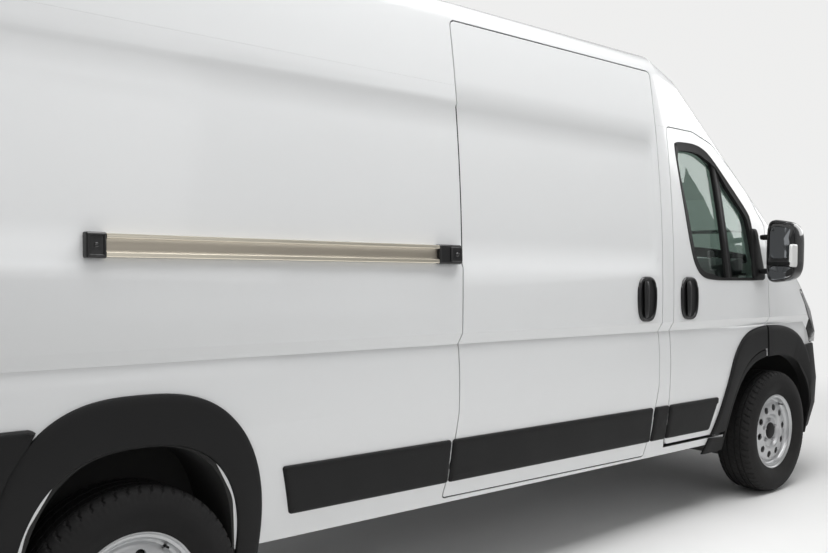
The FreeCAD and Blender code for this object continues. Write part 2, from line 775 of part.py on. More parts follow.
def make_all():
    nodes = {}
    shell = body_form().cut(body_form(WALL, REAR_FACE_X + WALL))
    inside = body_form(WALL + FIT, REAR_FACE_X + WALL + FIT, 9)
    recess = make_recess()
    front_ring = plaque(FRONT_RING).cut(right_side(FRONT_ARCH)).common(
        box(-FAR, FAR, -FAR, 0, SILL_Z, FAR))

    slide_hole = right_side(grown(SLIDE_OUTLINE, SHUT_GAP))
    door_hole = right_side(grown(DOOR_OUTLINE, SHUT_GAP))
    door_holes = [door_hole, mirror(door_hole)]
    rear_arches = side_prism(REAR_ARCH, -FAR, FAR)
    front_arches = side_prism(FRONT_ARCH, -FAR, FAR)

    def rear_outline(gap):
        return (
            (-REAR_DOOR_HALF - gap, REAR_DOOR_BOTTOM - gap, 20),
            (REAR_DOOR_HALF + gap, REAR_DOOR_BOTTOM - gap, 20),
            (REAR_DOOR_HALF + gap, REAR_DOOR_TOP + gap, 60),
            (-REAR_DOOR_HALF - gap, REAR_DOOR_TOP + gap, 60),
        )

    rear_hole = end_prism(rear_outline(SHUT_GAP), REAR_FACE_X - 10, REAR_FACE_X + WALL + 10)
    lamp_zone = fused([
        box(REAR_FACE_X - 20, REAR_FACE_X + 75, -FAR, -REAR_DOOR_HALF - 24, 700, 1400),
        box(REAR_FACE_X - 20, REAR_FACE_X + 75, REAR_DOOR_HALF + 24, FAR, 700, 1400)])

    # Rear lamps, let into the corner pillars.
    nodes["tail_lamps"] = layer(lamp_zone, 0, 40)
    lamp_hole = fused([
        box(REAR_FACE_X - 20, REAR_FACE_X + 75 + FIT, -FAR, -REAR_DOOR_HALF - 24 + FIT,
            700 - FIT, 1400 + FIT),
        box(REAR_FACE_X - 20, REAR_FACE_X + 75 + FIT, REAR_DOOR_HALF + 24 - FIT, FAR,
            700 - FIT, 1400 + FIT)]).cut(body_form(40 + FIT, REAR_FACE_X + 40 + FIT))

    # Load body: two side walls up to the seam, and the roof above it.
    wall_zone = fused([
        box(-6000, DOOR_REAR_X + SHUT_GAP, -FAR, FAR, SILL_Z - 50, SEAM_Z),
        box(DOOR_REAR_X, FRONT_ARCH[0][0] - 5, -FAR, FAR, SILL_Z - 50,
            DOOR_BOTTOM_Z - SHUT_GAP)])
    below = shell.common(wall_zone)
    tail_cut = box(-6000, 1000, -700, 700, 0, REAR_DOOR_BOTTOM - 20)
    below = below.cut([slide_hole, rear_arches, rear_hole, lamp_hole, tail_cut, recess,
                       mirror(recess)] + door_holes)
    hinges = rear_hinges()
    nodes["side_right"] = below.common(box(-6000, 1000, -FAR, -FIT, 0, 3000))
    nodes["side_left"] = below.common(box(-6000, 1000, FIT, FAR, 0, 3000))
    nodes["side_right"] = fused([nodes["side_right"]] + [mirror(h) for h in hinges[0]])
    nodes["side_left"] = fused([nodes["side_left"]] + hinges[0])

    screen = plan_prism(SCREEN_PLAN, 1330, 2300)
    screen_hole = plan_prism(grown(SCREEN_PLAN, FIT), 1250, 2300)
    cowl_zone = plan_prism(COWL_PLAN, 1200, 2000)
    cowl_hole = plan_prism(grown(COWL_PLAN, FIT), 1100, 2000)
    roof = shell.common(box(-6000, -560, -FAR, FAR, SEAM_Z + FIT, 3000))
    roof = roof.cut([slide_hole, rear_hole, screen_hole] + door_holes)
    ribs = [box(ROOF_RIB_REAR_X, ROOF_RIB_FRONT_X, y - ROOF_RIB_HALF, y + ROOF_RIB_HALF,
                ROOF_EDGE_Z, ROOF_Z + 50) for y in ROOF_RIBS]
    nodes["roof"] = fused([roof, layer(Part.makeCompound(ribs), -5, 4)])

    nodes["windscreen"] = layer(screen, 0, GLASS_T)
    nodes["cowl"] = layer(cowl_zone, 0, SKIN)

    # Pillars and cowl sides, from the roof seam down to the wings.
    frame = shell.common(box(DOOR_REAR_X + SHUT_GAP + 1, FRAME_FRONT_X, -FAR, FAR, WING_TOP_Z, SEAM_Z))
    frame = frame.cut([screen_hole, cowl_hole] + door_holes)
    post = box(-95, -30, 835.3, 895, 835, WING_TOP_Z + 40)
    shelf = box(-60, 320, 780, 895, 1300, WING_TOP_Z + 30).common(
        body_form(4).common(box(-100, 400, -FAR, FAR, 0, 3000)))
    frame_side = [s for s in frame.Solids if s.CenterOfMass.y > 0]
    left_frame = fused(frame_side + [post, shelf.cut([screen_hole, cowl_hole, door_holes[1]])])
    nodes["cab_frame"] = both_sides(fused([left_frame] + side_hinges()[0]))

    # Wings: thin skins from the door gap to the lamp, over the wheel arch.
    lamp_prism = side_prism(LAMP_OUTLINE, -FAR, FAR)
    lamp_gap = side_prism(grown(LAMP_OUTLINE, FIT), -FAR, FAR)
    bonnet_hole = plan_prism(grown(BONNET_PLAN, SHUT_GAP), 800, 2000)
    wing = layer(box(DOOR_FRONT_X, 866, 0, FAR, SILL_Z, WING_TOP_Z - FIT), 0, SKIN)
    wing = wing.cut([front_arches, lamp_gap, bonnet_hole, cowl_hole, screen_hole])
    wing = wing.cut([box(200, 900, 0, FAR, 0, NOSE_SPLIT_Z), door_holes[1]])
    nodes["wings"] = both_sides(biggest(wing))

    bonnet = biggest(layer(plan_prism(BONNET_PLAN, 1000, 2000), 0, BONNET_T))
    necks = []
    for side in (1, -1):
        y0 = min(side * (BONNET_HINGE_Y - 20), side * BONNET_HINGE_Y)
        x = BONNET_HINGE_X
        z = BONNET_HINGE_Z
        necks.append(tube_y(9, x, z, y0, y0 + 20))
        neck = side_prism(((x - 8, z, 0), (x + 2, z - 40, 12), (x + 30, z - 56, 12),
                           (x + 90, z - 56, 0), (x + 90, z - 16, 0), (x + 62, z - 16, 0),
                           (x + 50, z - 40, 8), (x + 26, z - 42, 8), (x + 10, z - 22, 8),
                           (x + 8, z, 0)), y0, y0 + 20)
        necks.append(neck.common(fused([body_form(4), box(0, 400, -500, 500, 1300, 1500)])))
    nodes["bonnet"] = fused([bonnet] + necks)

    lamp = shell.common(lamp_prism).cut(bonnet_hole).common(box(0, 869, 560, FAR, 800, 1400))
    nodes["headlamps"] = both_sides(biggest(lamp))

    nodes["front_bumper"] = make_bumper()
    grille = box(846, 868, FIT - 560, 560 - FIT, NOSE_SPLIT_Z + 4, 1060).common(
        body_form(BONNET_T + SHUT_GAP))
    slots = [box(840, 880, -w, w, z, z + 24) for z, w in ((878, 520), (913, 515), (948, 470))]
    nodes["grille"] = grille.cut(slots)

    # Side doors and their glass and trim.
    door = shell.common(right_side(DOOR_OUTLINE))
    window_hole = right_side(WINDOW_OUTLINE)
    pocket = box(DOOR_HINGE_X - 45, 0, -FAR, 0, 300, WING_TOP_Z).common(body_form(SKIN))
    step = right_side(grown(DOOR_OUTLINE, 2)).cut(right_side(grown(DOOR_OUTLINE, -DOOR_STEP)))
    step = step.common(body_form(DOOR_FLANGE_T))
    hinge_room = box(DOOR_HINGE_X - 10, DOOR_HINGE_X + 10, -FAR, 0, DOOR_HINGE_Z[0] - 2,
                     DOOR_HINGE_Z[1] + 32).common(body_form(3))
    door = door.cut([window_hole, pocket, step, hinge_room])
    door = fused([biggest(door)] + [mirror(h) for h in side_hinges()[1]])
    glass = biggest(layer(right_side(grown(WINDOW_OUTLINE, -FIT)), GLASS_DEPTH,
                          GLASS_DEPTH + GLASS_T))
    door_arch = front_ring.common(right_side(grown(DOOR_OUTLINE, -1))).common(
        box(-900, 0, -FAR, 0, DOOR_BOTTOM_Z + 5, FAR))
    door_band = plaque(((DOOR_REAR_X + 4, BAND_LOW, 12), (-811, BAND_LOW, 20),
                        (-698, BAND_HIGH, 25), (DOOR_REAR_X + 4, BAND_HIGH, 12)))
    trims = Part.makeCompound([biggest(door_arch), door_band, make_handle(-1070, -912),
                               make_seal(), make_mirror()])
    for name, side in (("right", 1), ("left", -1)):
        for label, shape in (("door_", door), ("door_glass_", glass), ("door_trim_", trims)):
            nodes[label + name] = shape if side == 1 else mirror(shape)

    nodes["sliding_door"] = biggest(shell.common(right_side(SLIDE_OUTLINE)).cut(
        mirror(recess)))
    nodes["slide_rail"] = make_rail()

    # Black mouldings along both sides, the sliding door's handle and the rail's ends.
    trims = [make_handle(-1454, -1296)] + rail_ends()
    spans = ((-3525, SLIDE_REAR_X - 40), (SLIDE_REAR_X - 20, SLIDE_FRONT_X - 40),
             (SLIDE_FRONT_X + 4, DOOR_REAR_X - 10))
    for x0, x1 in spans:
        trims.append(plaque(((x0, BAND_LOW, 20), (x1, BAND_LOW, 20), (x1, BAND_HIGH, 25),
                             (x0, BAND_HIGH, 25))))
    tail_band = plaque(((-4960, 640, 12), (-4500, 640, 12), (-4440, 833, 12),
                        (-4960, 833, 12)))
    trims += [tail_band, mirror(tail_band)]
    trims.append(mirror(plaque(((-3525, BAND_LOW, 20), (DOOR_REAR_X - 10, BAND_LOW, 20),
                                (DOOR_REAR_X - 10, BAND_HIGH, 25), (-3525, BAND_HIGH, 25)))))
    nodes["side_trims"] = Part.makeCompound([s for t in trims for s in t.Solids])

    # Black wheel-arch rings: the rear pair, and what of the front pair the body carries.
    rear_ring = plaque(REAR_RING).cut(right_side(REAR_ARCH)).common(
        box(-6000, 0, -FAR, 0, SILL_Z + 10, FAR))
    wing_ring = front_ring.common(box(DOOR_FRONT_X - 500, 480, -FAR, 0, 600, FAR)).cut(
        [door_hole, make_bumper_block()])
    sill_ring = front_ring.common(box(-900, -500, -FAR, 0, SILL_Z + 2,
                                      DOOR_BOTTOM_Z - SHUT_GAP)).cut(door_hole)
    rings = [biggest(ring) for ring in (rear_ring, wing_ring, sill_ring)]
    nodes["arch_trims"] = both_sides(Part.makeCompound(rings))

    # Front wheel wells.
    well = side_prism(grown(FRONT_ARCH, 12), 565, 965).cut(
        side_prism(grown(FRONT_ARCH, 12 - LINER_T), 565 + LINER_T, 980))
    well = well.common(box(-700, 700, 0, FAR, SILL_Z, 1200))
    well = well.common(body_form(SKIN + FIT))
    well = well.cut([door_holes[1], make_bumper_block(), box(-700, -95, 900, FAR, 0, 2000)])
    nodes["arch_liners"] = both_sides(biggest(well))

    # Rear doors: two leaves of the rear wall.
    leaf = shell.common(end_prism(rear_outline(0), REAR_FACE_X - 10, REAR_FACE_X + WALL))
    leaf = leaf.common(box(-6000, REAR_FACE_X + WALL, 3, FAR, 0, 3000))
    leaf_step = box(REAR_FACE_X + DOOR_FLANGE_T, REAR_FACE_X + 70, -10, FAR, 400, 2400).cut(
        end_prism(((3 + DOOR_STEP, REAR_DOOR_BOTTOM + DOOR_STEP, 20),
                   (REAR_DOOR_HALF - DOOR_STEP, REAR_DOOR_BOTTOM + DOOR_STEP, 20),
                   (REAR_DOOR_HALF - DOOR_STEP, REAR_DOOR_TOP - DOOR_STEP, 60),
                   (3 + DOOR_STEP, REAR_DOOR_TOP - DOOR_STEP, 20)),
                  REAR_FACE_X, REAR_FACE_X + 70))
    panels = []
    for low, high in REAR_PANELS:
        panels.append(end_prism(((110, low, 50), (770, low, 50), (750, high, 70),
                                 (110, high, 50)), REAR_FACE_X - 5,
                                REAR_FACE_X + RECESS_DEPTH))
    leaf = fused([biggest(leaf.cut([leaf_step] + panels))] + hinges[1])
    cup = end_prism(((25, 985, 20), (90, 985, 20), (90, 1205, 20), (25, 1205, 20)),
                    REAR_FACE_X - 5, REAR_FACE_X + 25)
    grip = end_prism(((45, 975, 12), (70, 975, 12), (70, 1215, 12), (45, 1215, 12)),
                     REAR_FACE_X - 12, REAR_FACE_X)
    grip = grip.fuse(box(REAR_FACE_X - 1, REAR_FACE_X + 8, 45, 70, 975, 1215))
    nodes["rear_door_left"] = fused([leaf.cut(cup), grip])
    nodes["rear_door_right"] = mirror(leaf)
    bumper = plan_prism(((REAR_BUMPER_X, -900, 70), (REAR_FACE_X - 18, -958, 10),
                         (REAR_FACE_X - FIT, -958, 0), (REAR_FACE_X - FIT, 958, 0),
                         (REAR_FACE_X - 18, 958, 10), (REAR_BUMPER_X, 900, 70)), 385, 488)
    step = box(REAR_FACE_X - FIT, REAR_FACE_X + 60, -690, 690, 395, 478)
    nodes["rear_bumper"] = fused([bumper, step])

    # Inside and underneath.
    bulk = box(BULKHEAD_X + FIT, BULKHEAD_X + BULKHEAD_T, -FAR, FAR, RAIL_HIGH + FIT, 3000)
    nodes["bulkhead"] = bulk.common(inside)
    nodes["underbody"] = make_underbody(inside)
    nodes["cab_floor"] = make_cab_floor(inside)
    nodes["engine"] = box(60, 470, FIT - RAIL_IN, RAIL_IN - FIT, 440, 1080)
    nodes["front_subframe"] = make_subframe()
    nodes["rear_axle"] = make_rear_axle()
    nodes["fuel_tank"] = box(-2490, -1650, 530, 850, 230, 400 - FIT)
    nodes["exhaust"] = fused([
        Part.makeCylinder(30, 3100, vec(-3400, -250, 330), vec(1, 0, 0)),
        Part.makeCylinder(90, 600, vec(-2100, -250, 310 - FIT), vec(1, 0, 0))])
    spare_tyre = make_tyre(0, 0, 0)
    spare_tyre.rotate(vec(0, 0, 0), vec(1, 0, 0), 90)
    spare_tyre.translate(vec(-4545, 0, 399.7 - TYRE_WIDTH / 2))
    nodes["spare_wheel"] = spare_tyre

    # Cab furniture.
    dash = side_prism(((-400, 950, 40), (-470, 1180, 60), (-400, 1330, 60), (-40, 1392, 40),
                       (60, 1340, 30), (60, 1290.3, 0), (-70.5, 1290.3, 0),
                       (-137.5, 930, 20)), -775, 775)
    slope = math.radians(STEER_TILT)
    down = vec(math.cos(slope), 0, -math.sin(slope))
    column = Part.makeCylinder(30, 110, vec(STEER_X, STEER_Y, STEER_Z) + down * (180 + FIT),
                               down)
    binnacle = side_prism(((-415, 1300, 10), (-400, 1385, 20), (-300, 1425, 60),
                           (-120, 1395, 30), (-120, 1300, 0)), 300, 620)
    console = side_prism(((-500, 830, 20), (-460, 1190, 40), (-300, 1190, 0), (-200, 830, 0)),
                         70, 210)
    nodes["dashboard"] = fused([dash.common(inside), column, binnacle.common(inside),
                                console])
    nodes["driver_seat"] = make_seat(230, 750)
    nodes["passenger_seat"] = make_seat(-820, 60)
    nodes["seat_bases"] = Part.makeCompound([
        box(-1010, -560, 290, 690, CAB_FLOOR_Z + FIT, 780 - FIT),
        box(-1010, -560, -760, 0, CAB_FLOOR_Z + FIT, 780 - FIT)])
    nodes["steering_wheel"] = make_steering_wheel()

    for name, side in (("left", 1), ("right", -1)):
        nodes["knuckle_" + name] = make_knuckle(side)
        for end, x, z, track in (("front", 0, LOADED_RADIUS, FRONT_TRACK),
                                 ("rear", -WHEELBASE, REAR_WHEEL_Z, REAR_TRACK)):
            y = side * track / 2
            nodes["tyre_" + end + "_" + name] = make_tyre(y, x, z)
            nodes["rim_" + end + "_" + name] = make_rim(y, x, z, side)
    return placed(nodes)


def make_bumper_block():
    """The bumper's outer form with a running gap, to cut what stands beside it."""
    low = (BUMPER_ROWS[0][0] - 20,) + BUMPER_ROWS[0][1:]
    high = (BUMPER_ROWS[-1][0] + 3,) + BUMPER_ROWS[-1][1:]
    rows = (low,) + BUMPER_ROWS[:-1] + (high,)
    return Part.makeLoft([bumper_row(r, -3) for r in rows], True, True)


def make_seat(y0, y1):
    cushion = side_prism(((-1020, 780, 40), (-520, 780, 40), (-520, 930, 60),
                          (-1000, 900, 60)), y0, y1)
    back = side_prism(((-1090, 830, 40), (-960, 830, 40), (-1080, 1560, 40),
                       (-1190, 1560, 40)), y0 + 20, y1 - 20)
    head = []
    count = 1 if y1 - y0 < 600 else 2
    for i in range(count):
        mid = y0 + (y1 - y0) * (2 * i + 1) / (2 * count)
        head.append(side_prism(((-1175, 1550, 20), (-1085, 1550, 20), (-1100, 1790, 30),
                                (-1185, 1790, 30)), mid - 140, mid + 140))
    return fused([cushion, back] + head)


STEER_X = -610
STEER_Y = 460
STEER_Z = 1270
STEER_TILT = 50
STEER_R = 185
STEER_GRIP_R = 15


def make_steering_wheel():
    rim = [vec(STEER_R + STEER_GRIP_R * math.cos(a), 0, STEER_GRIP_R * math.sin(a))
           for a in (math.pi * (2 * i + 1) / 6 for i in range(6))]
    ring = Part.Face(Part.makePolygon(rim + [rim[0]])).revolve(vec(0, 0, 0), vec(0, 0, 1), 360)
    hub = Part.makeCylinder(55, 40, vec(0, 0, -30))
    stem = Part.makeCylinder(18, 155, vec(0, 0, -180))
    spokes = []
    for turn in (0, 180, 270):
        spoke = box(40, 178, -16, 16, -14, 2)
        spoke.rotate(vec(0, 0, 0), vec(0, 0, 1), turn)
        spokes.append(spoke)
    wheel = fused([ring, hub, stem] + spokes)
    wheel.rotate(vec(0, 0, 0), vec(0, 1, 0), STEER_TILT - 90)
    wheel.translate(vec(STEER_X, STEER_Y, STEER_Z))
    return wheel


REAR_HINGE_R = 11
REAR_HINGE_H = 60


def side_hinges():
    """Two hinges of the left cab door: goose-neck arms on the post, lugs on the door."""
    x = DOOR_HINGE_X
    y = DOOR_HINGE_Y
    r = DOOR_HINGE_R
    fixed = []
    moving = []
    for z in DOOR_HINGE_Z:
        arm = plan_prism(((x + 90, y - 123, 0), (x + 90, y - 95, 0), (x + 9, y - 95, 12),
                          (x + 5, y, 0), (x - 5, y, 0), (x - 10, y - 115, 20)), z, z + 15)
        fixed.append(fused([arm, Part.makeCylinder(r, 15, vec(x, y, z))]))
        lug = box(x - 47, x, y - r, y + r, z + 15 + FIT, z + 30)
        moving.append(fused([lug, Part.makeCylinder(r, 15 - FIT, vec(x, y, z + 15 + FIT))]))
    return fixed, moving


def rear_hinges():
    """Three stacked hinges at the left corner: the pillar's halves and the door's."""
    axis_x = REAR_FACE_X - REAR_HINGE_OUT
    axis_y = REAR_DOOR_HALF + SHUT_GAP / 2
    fixed = []
    moving = []
    for z in (620, 1440, 1960):
        low = Part.makeCylinder(REAR_HINGE_R, REAR_HINGE_H / 2 - 0.3, vec(axis_x, axis_y, z))
        high = Part.makeCylinder(REAR_HINGE_R, REAR_HINGE_H / 2, vec(axis_x, axis_y,
                                                                     z + REAR_HINGE_H / 2))
        out = box(axis_x - 5, axis_x + 5, axis_y, axis_y + 30, z, z + REAR_HINGE_H / 2 - 0.3)
        foot = box(axis_x, REAR_FACE_X + 5, axis_y + 18, axis_y + 30, z,
                   z + REAR_HINGE_H / 2 - 0.3)
        fixed.append(fused([low, out, foot]))
        leaf_in = box(axis_x - 5, axis_x + 5, axis_y - 30, axis_y, z + REAR_HINGE_H / 2,
                      z + REAR_HINGE_H)
        leaf_foot = box(axis_x, REAR_FACE_X + 5, axis_y - 30, axis_y - 18,
                        z + REAR_HINGE_H / 2, z + REAR_HINGE_H)
        moving.append(fused([high, leaf_in, leaf_foot]))
    return fixed, moving


def placed(nodes):
    """Turn the body to its rake and move the van onto its own origin."""
    turned = {}
    for name, shape in nodes.items():
        copy = shape.copy()
        copy.rotate(vec(0, 0, LOADED_RADIUS), vec(0, 1, 0), RAKE)
        turned[name] = copy
    bumpers = Part.makeCompound([turned["front_bumper"], turned["rear_bumper"]])
    whole = bumpers.optimalBoundingBox(False, False)
    move = vec(-(whole.XMin + whole.XMax) / 2, 0, TYRE_RADIUS - LOADED_RADIUS)
    for shape in turned.values():
        shape.translate(move)
    return turned


if __name__ == "__main__":
    os.makedirs("parts", exist_ok=True)
    for name, shape in make_all().items():
        shape.exportStep("parts/" + name + ".step")
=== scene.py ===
import json
import math

import bmesh
import bpy
import numpy as np
from mathutils import Matrix, Vector
from mathutils.bvhtree import BVHTree

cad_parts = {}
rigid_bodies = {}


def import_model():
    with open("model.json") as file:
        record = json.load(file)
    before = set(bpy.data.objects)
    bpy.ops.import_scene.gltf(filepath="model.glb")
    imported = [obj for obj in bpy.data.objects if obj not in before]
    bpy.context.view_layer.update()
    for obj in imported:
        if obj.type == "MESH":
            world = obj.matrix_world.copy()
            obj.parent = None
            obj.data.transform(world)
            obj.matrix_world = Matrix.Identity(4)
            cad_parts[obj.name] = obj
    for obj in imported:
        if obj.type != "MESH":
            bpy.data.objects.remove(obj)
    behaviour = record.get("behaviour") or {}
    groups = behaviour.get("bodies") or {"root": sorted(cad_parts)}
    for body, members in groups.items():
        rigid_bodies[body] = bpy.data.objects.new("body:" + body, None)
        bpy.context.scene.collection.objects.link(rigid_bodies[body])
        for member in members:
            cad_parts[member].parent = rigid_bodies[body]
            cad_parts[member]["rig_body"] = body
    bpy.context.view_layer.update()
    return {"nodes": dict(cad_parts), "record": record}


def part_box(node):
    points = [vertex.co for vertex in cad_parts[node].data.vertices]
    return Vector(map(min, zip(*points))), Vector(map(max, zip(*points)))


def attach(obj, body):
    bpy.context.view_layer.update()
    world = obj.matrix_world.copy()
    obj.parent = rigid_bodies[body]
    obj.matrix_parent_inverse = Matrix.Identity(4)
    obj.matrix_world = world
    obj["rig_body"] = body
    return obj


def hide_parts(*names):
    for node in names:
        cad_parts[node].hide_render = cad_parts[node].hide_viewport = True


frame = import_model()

# Lengths are metres. Shapes are worked out in the body's own frame (X = 0 at the front
# axle, Z = 0 at the ground under it, +X forward, +Y left) and then turned with the rake.
RAKE = math.radians(1.38)
WHEEL_Z = 0.358
TYRE_R = 0.360
AXLE_X = sum(corner[0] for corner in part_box("tyre_front_left")) / 2
WHEELBASE = 4.035
FRONT_HALF_TRACK = 0.905
REAR_HALF_TRACK = 0.895
REAR_WHEEL_Z = WHEEL_Z - WHEELBASE * math.tan(RAKE)
SIDES = ((1, "left"), (-1, "right"))


def swung(points, angle, first, second):
    """Points turned by an angle, from the first axis towards the second."""
    out = np.array(points, dtype=float)
    a, b = out[..., first].copy(), out[..., second].copy()
    out[..., first] = a * math.cos(angle) - b * math.sin(angle)
    out[..., second] = b * math.cos(angle) + a * math.sin(angle)
    return out


def placed(points):
    """Body-frame points turned by the rake about the front axle, then moved to the row frame."""
    return swung(points - np.array((0, 0, WHEEL_Z)), RAKE, 2, 0) + (AXLE_X, 0, TYRE_R)


# Camera
# Solved from the photograph: where the lens stands, which way it looks, and its length.
CAMERA_AT = (-3.2252, -3.6533, 1.4481)
CAMERA_YAW = math.radians(48.227)
CAMERA_PITCH = math.radians(-1.642)
CAMERA_ROLL = math.radians(0.107)
CAMERA_LENS = 40.127

camera_data = bpy.data.cameras.new("camera")
camera_data.lens = CAMERA_LENS
camera_data.sensor_width = 36.0
camera_data.clip_end = 60.0
camera = bpy.data.objects.new("camera", camera_data)
bpy.context.collection.objects.link(camera)
bpy.context.scene.camera = camera
camera.location = CAMERA_AT
camera.rotation_euler = (Matrix.Rotation(CAMERA_YAW - math.pi / 2, 3, "Z")
                         @ Matrix.Rotation(math.pi / 2 + CAMERA_PITCH, 3, "X")
                         @ Matrix.Rotation(-CAMERA_ROLL, 3, "Z")).to_euler()

scene = bpy.context.scene
scene.view_settings.view_transform = "Standard"


# Node groups
def node(tree, kind, **values):
    """A node with its attributes set. in_NAME or in_NUMBER gives an input socket its plain
    value, or the output that feeds it."""
    made = tree.nodes.new(kind)
    for key, value in values.items():
        if not key.startswith("in_"):
            setattr(made, key, value)
            continue
        label = key[3:].replace("_", " ")
        socket = made.inputs[int(label) if label.isdigit() else label]
        if isinstance(value, bpy.types.NodeSocket):
            tree.links.new(value, socket)
        else:
            socket.default_value = value
    return made


def maths(tree, operation, *terms, **values):
    """The result of a maths node over its terms, which are plain values or outputs."""
    values.update(("in_%d" % i, term) for i, term in enumerate(terms))
    return node(tree, "ShaderNodeMath", operation=operation, **values).outputs[0]


def mixed(tree, factor, low, high):
    """A colour between two others, which are plain values or outputs."""
    return node(tree, "ShaderNodeMix", data_type="RGBA", in_Factor=factor, in_A=low,
                in_B=high).outputs["Result"]


def new_group(name, output, kind, **inputs):
    """A shader node group that takes a position and named floats, with its input's outputs."""
    group = bpy.data.node_groups.new(name, "ShaderNodeTree")
    group.interface.new_socket("Position", in_out="INPUT", socket_type="NodeSocketVector")
    for label, value in inputs.items():
        socket = group.interface.new_socket(label, in_out="INPUT", socket_type="NodeSocketFloat")
        socket.default_value = value
    group.interface.new_socket(output, in_out="OUTPUT", socket_type=kind)
    return group, group.nodes.new("NodeGroupInput").outputs


def relief(group, height, strength, depth):
    """Put a height out of a group as a bumped normal."""
    bump = node(group, "ShaderNodeBump", in_Strength=strength, in_Height=height,
                in_Distance=depth)
    node(group, "NodeGroupOutput", in_Normal=bump.outputs["Normal"])
    return group


def grain_group():
    """Leathery moulded grain: cells of one size, broken up by a finer noise."""
    group, given = new_group("moulded_grain", "Normal", "NodeSocketVector", Size=400.0,
                             Depth=0.0004)
    spread = {"in_Vector": given["Position"], "in_Scale": given["Size"]}
    cells = node(group, "ShaderNodeTexVoronoi", feature="SMOOTH_F1", **spread)
    noise = node(group, "ShaderNodeTexNoise", in_Detail=3.0, **spread)
    height = maths(group, "MULTIPLY_ADD", noise.outputs["Fac"], 0.6, cells.outputs["Distance"])
    return relief(group, height, 0.5, given["Depth"])


def dust_group():
    """A mask of settled dust: soft clouds, stronger low down near the road."""
    group, given = new_group("road_dust", "Mask", "NodeSocketFloat", Low=0.1, High=1.0,
                             Amount=0.3)
    split = node(group, "ShaderNodeSeparateXYZ", in_0=given["Position"])
    reach = node(group, "ShaderNodeMapRange", clamp=True, in_Value=split.outputs["Z"],
                 in_From_Min=given["Low"], in_From_Max=given["High"], in_To_Min=1.0,
                 in_To_Max=0.0)
    clouds = node(group, "ShaderNodeTexNoise", in_Vector=given["Position"], in_Scale=6.0,
                  in_Detail=6.0, in_Roughness=0.65)
    cloudy = maths(group, "MULTIPLY", reach.outputs["Result"], clouds.outputs["Fac"])
    node(group, "NodeGroupOutput",
         in_Mask=maths(group, "MULTIPLY", cloudy, given["Amount"], use_clamp=True))
    return group


def weave_group():
    """Plain woven cloth: two crossed sets of ridges on the piece's own position."""
    group, given = new_group("cloth_weave", "Normal", "NodeSocketVector", Threads=700.0,
                             Depth=0.0006)
    scaled = node(group, "ShaderNodeVectorMath", operation="SCALE", in_0=given["Position"],
                  in_Scale=given["Threads"])
    split = node(group, "ShaderNodeSeparateXYZ", in_0=scaled.outputs[0])
    x, y, z = (maths(group, "SINE", split.outputs[axis]) for axis in "XYZ")
    height = maths(group, "MULTIPLY_ADD", y, z, maths(group, "MULTIPLY", x, y))
    return relief(group, height, 0.6, given["Depth"])


GRAIN = grain_group()
DUST = dust_group()
WEAVE = weave_group()
DUST_COLOR = (0.45, 0.43, 0.40, 1)


# Materials
FINISHES = {}
stood_for = set()
slot_of = {part["node"]: part["material_slot"] for part in frame["record"]["subparts"]}


def material(name, color, roughness, metallic=0.0, slot=None, dusty=0.0, grain=None,
             weave=None, cloud=0.0, cloud_scale=3.0, **extra):
    """A principled finish with soft colour clouds, optional dust, grain or weave, filed under
    its own name. The slot argument is not used."""
    made = bpy.data.materials.new(name)
    made.use_nodes = True
    FINISHES[name] = made
    tree = made.node_tree
    link = tree.links.new
    inputs = tree.nodes["Principled BSDF"].inputs
    for key, value in dict(Base_Color=(*color, 1), Roughness=roughness, Metallic=metallic,
                           **extra).items():
        inputs[key.replace("_", " ")].default_value = value
    place = node(tree, "ShaderNodeTexCoord").outputs["Object"]
    colour = (*color, 1)
    if cloud:
        clouds = node(tree, "ShaderNodeTexNoise", in_Vector=place, in_Scale=cloud_scale,
                      in_Detail=5.0).outputs["Fac"]
        colour = mixed(tree, clouds, (*[c * (1 - cloud) for c in color], 1),
                       (*[min(1, c * (1 + cloud)) for c in color], 1))
        rough = node(tree, "ShaderNodeMapRange", in_Value=clouds,
                     in_To_Min=max(0.02, roughness - 0.06), in_To_Max=min(1.0, roughness + 0.06))
        link(rough.outputs["Result"], inputs["Roughness"])
    if dusty:
        dust = node(tree, "ShaderNodeGroup", node_tree=DUST, in_Amount=dusty, in_Position=place)
        colour = mixed(tree, dust.outputs["Mask"], colour, DUST_COLOR)
    if cloud or dusty:
        link(colour, inputs["Base Color"])
    for values, group, scale in ((grain, GRAIN, "in_Size"), (weave, WEAVE, "in_Threads")):
        if values:
            surface = node(tree, "ShaderNodeGroup", node_tree=group, in_Position=place,
                           in_Depth=values[1], **{scale: values[0]})
            link(surface.outputs["Normal"], inputs["Normal"])
    return made


